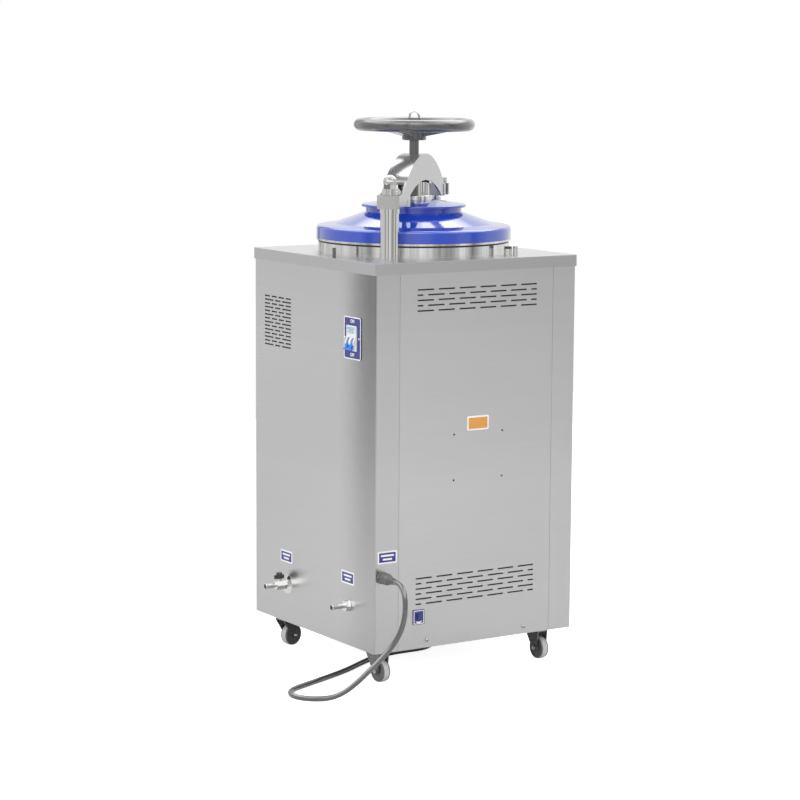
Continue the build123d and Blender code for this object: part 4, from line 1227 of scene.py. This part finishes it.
class AUTOCLAVE_OT_castors(bpy.types.Operator):
    """Replace the plain castor wheels with treaded ones, and add the axle bolts"""

    bl_idname = "autoclave.castors"
    bl_label = "Castor Wheels"

    def execute(self, context):
        for corner in CASTOR_CORNERS:
            low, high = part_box(f"{corner}_castor_wheel")
            hub = (low + high) / 2
            low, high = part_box(f"{corner}_castor_fork")
            swivel = Vector(((low.x + high.x) / 2, (low.y + high.y) / 2, hub.z))
            axle = (hub - swivel).normalized().cross(Vector((0, 0, 1)))
            self.add_wheel(corner, hub, axle, context)
            bolts = [(hub + side * FORK_HALF_WIDTH * axle, side * axle) for side in (-1, 1)]
            name, body = f"{corner}_axle_bolts", f"{corner}_castor"
            add_fasteners(name, "bolt", AXLE_BOLT_RADIUS, bolts, body, "polished", context, 6)
        return {"FINISHED"}

    def add_wheel(self, corner, hub, axle, context):
        """A wheel with a pale tread, a dark disc on each side and a raised hub."""
        profile = [(radius, -height) for radius, height in WHEEL_SIDE] + list(reversed(WHEEL_SIDE))
        bm = bmesh.new()
        lathe(bm, profile, 56, lambda radius: 1 if radius > TREAD_START else 0)
        place = facing(hub, axle)
        name, body = f"{corner}_wheel_tread", f"{corner}_wheel"
        piece = made_piece(name, bm, place, body, ("wheel", "tread"), context)
        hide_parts(f"{corner}_castor_wheel")


def add_gland(context):
    """The gland: a hexagon locknut, a ribbed dome nut and a tapered strain relief; gives its pieces."""
    low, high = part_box("cable_gland")
    root = Vector(((low.x + high.x) / 2, BACK_FACE, (low.z + high.z) / 2))
    outwards = (0, 1, 0)
    bm = bmesh.new()
    lathe(bm, GLAND_NUT, 6)
    for face in bm.faces:
        face.smooth = False
    lathe(bm, GLAND_DOME, 48)
    profile = [(0, RELIEF_START)]
    reach = high.y - low.y
    step = (reach - RELIEF_START) / RELIEF_STEPS
    for ring in range(RELIEF_STEPS):
        start = RELIEF_START + ring * step
        radius = RELIEF_WIDE + (RELIEF_NARROW - RELIEF_WIDE) * ring / RELIEF_STEPS
        profile.append((radius, start))
        profile.append((radius - 0.0002, start + 0.72 * step))
        profile.append((radius - 0.0011, start + 0.80 * step))
    profile += [(RELIEF_TIP, reach), (0, reach)]
    lathe(bm, profile, 40)
    place = facing(root, outwards)
    body = made_piece("mains_gland", bm, place, "cabinet", ("gland",), context)
    made = finishes(context.scene.autoclave_colours)["gland"]
    host = host_of("gland_grip_host")
    values = {
        "Count": context.scene.autoclave_sizes.gland_ribs,
        "Radius": GLAND_RIB_RING,
        "Rib Radius": GLAND_RIB_RADIUS,
        "Rib Length": GLAND_RIB_LENGTH,
        "Finish": made,
    }
    mesh = grown_mesh(host, rib_tree(), values)
    bpy.data.objects.remove(host)
    mesh.materials.clear()
    mesh.transform(facing(root + Vector((0, GLAND_RIB_MIDDLE, 0)), outwards))
    mesh.polygons.foreach_set("use_smooth", [True] * len(mesh.polygons))
    mesh.set_sharp_from_angle(angle=radians(40))
    grip = new_piece("gland_grip", mesh, "cabinet", [made])
    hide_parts("cable_gland")
    return [body, grip]


class AUTOCLAVE_PT_panel(bpy.types.Panel):
    """Sizes, colours and steps of the autoclave"""

    bl_label = "Vertical Autoclave"
    bl_space_type = "VIEW_3D"
    bl_region_type = "UI"
    bl_category = "Autoclave"

    def draw(self, context):
        for owner in (context.scene.autoclave_sizes, context.scene.autoclave_colours):
            box = self.layout.box()
            for name in owner.bl_rna.properties.keys():
                if name not in ("rna_type", "name"):
                    box.prop(owner, name)
        for step in STEPS:
            self.layout.operator(step.bl_idname)


STEPS = (
    AUTOCLAVE_OT_stage,
    AUTOCLAVE_OT_finishes,
    AUTOCLAVE_OT_lead,
    AUTOCLAVE_OT_labels,
    AUTOCLAVE_OT_switch_dress,
    AUTOCLAVE_OT_reset_dress,
    AUTOCLAVE_OT_screws,
    AUTOCLAVE_OT_vent_painted_shade,
    AUTOCLAVE_OT_hose_tails,
    AUTOCLAVE_OT_castors,
)
CLASSES = (AutoclaveSizes, AutoclaveColours, *STEPS, AUTOCLAVE_PT_panel)


def register():
    for kind in CLASSES:
        bpy.utils.register_class(kind)
    bpy.types.Scene.autoclave_sizes = PointerProperty(type=AutoclaveSizes)
    bpy.types.Scene.autoclave_colours = PointerProperty(type=AutoclaveColours)


def unregister():
    del bpy.types.Scene.autoclave_colours
    del bpy.types.Scene.autoclave_sizes
    for kind in reversed(CLASSES):
        bpy.utils.unregister_class(kind)


def main():
    register()
    bpy.ops.autoclave.stage()
    bpy.ops.autoclave.finishes()
    bpy.ops.autoclave.lead()
    bpy.ops.autoclave.labels()
    bpy.ops.autoclave.switch_dress()
    bpy.ops.autoclave.reset_dress()
    bpy.ops.autoclave.screws()
    bpy.ops.autoclave.vent_linings()
    bpy.ops.autoclave.hose_tails()
    bpy.ops.autoclave.castors()


if __name__ == "__main__":
    main()
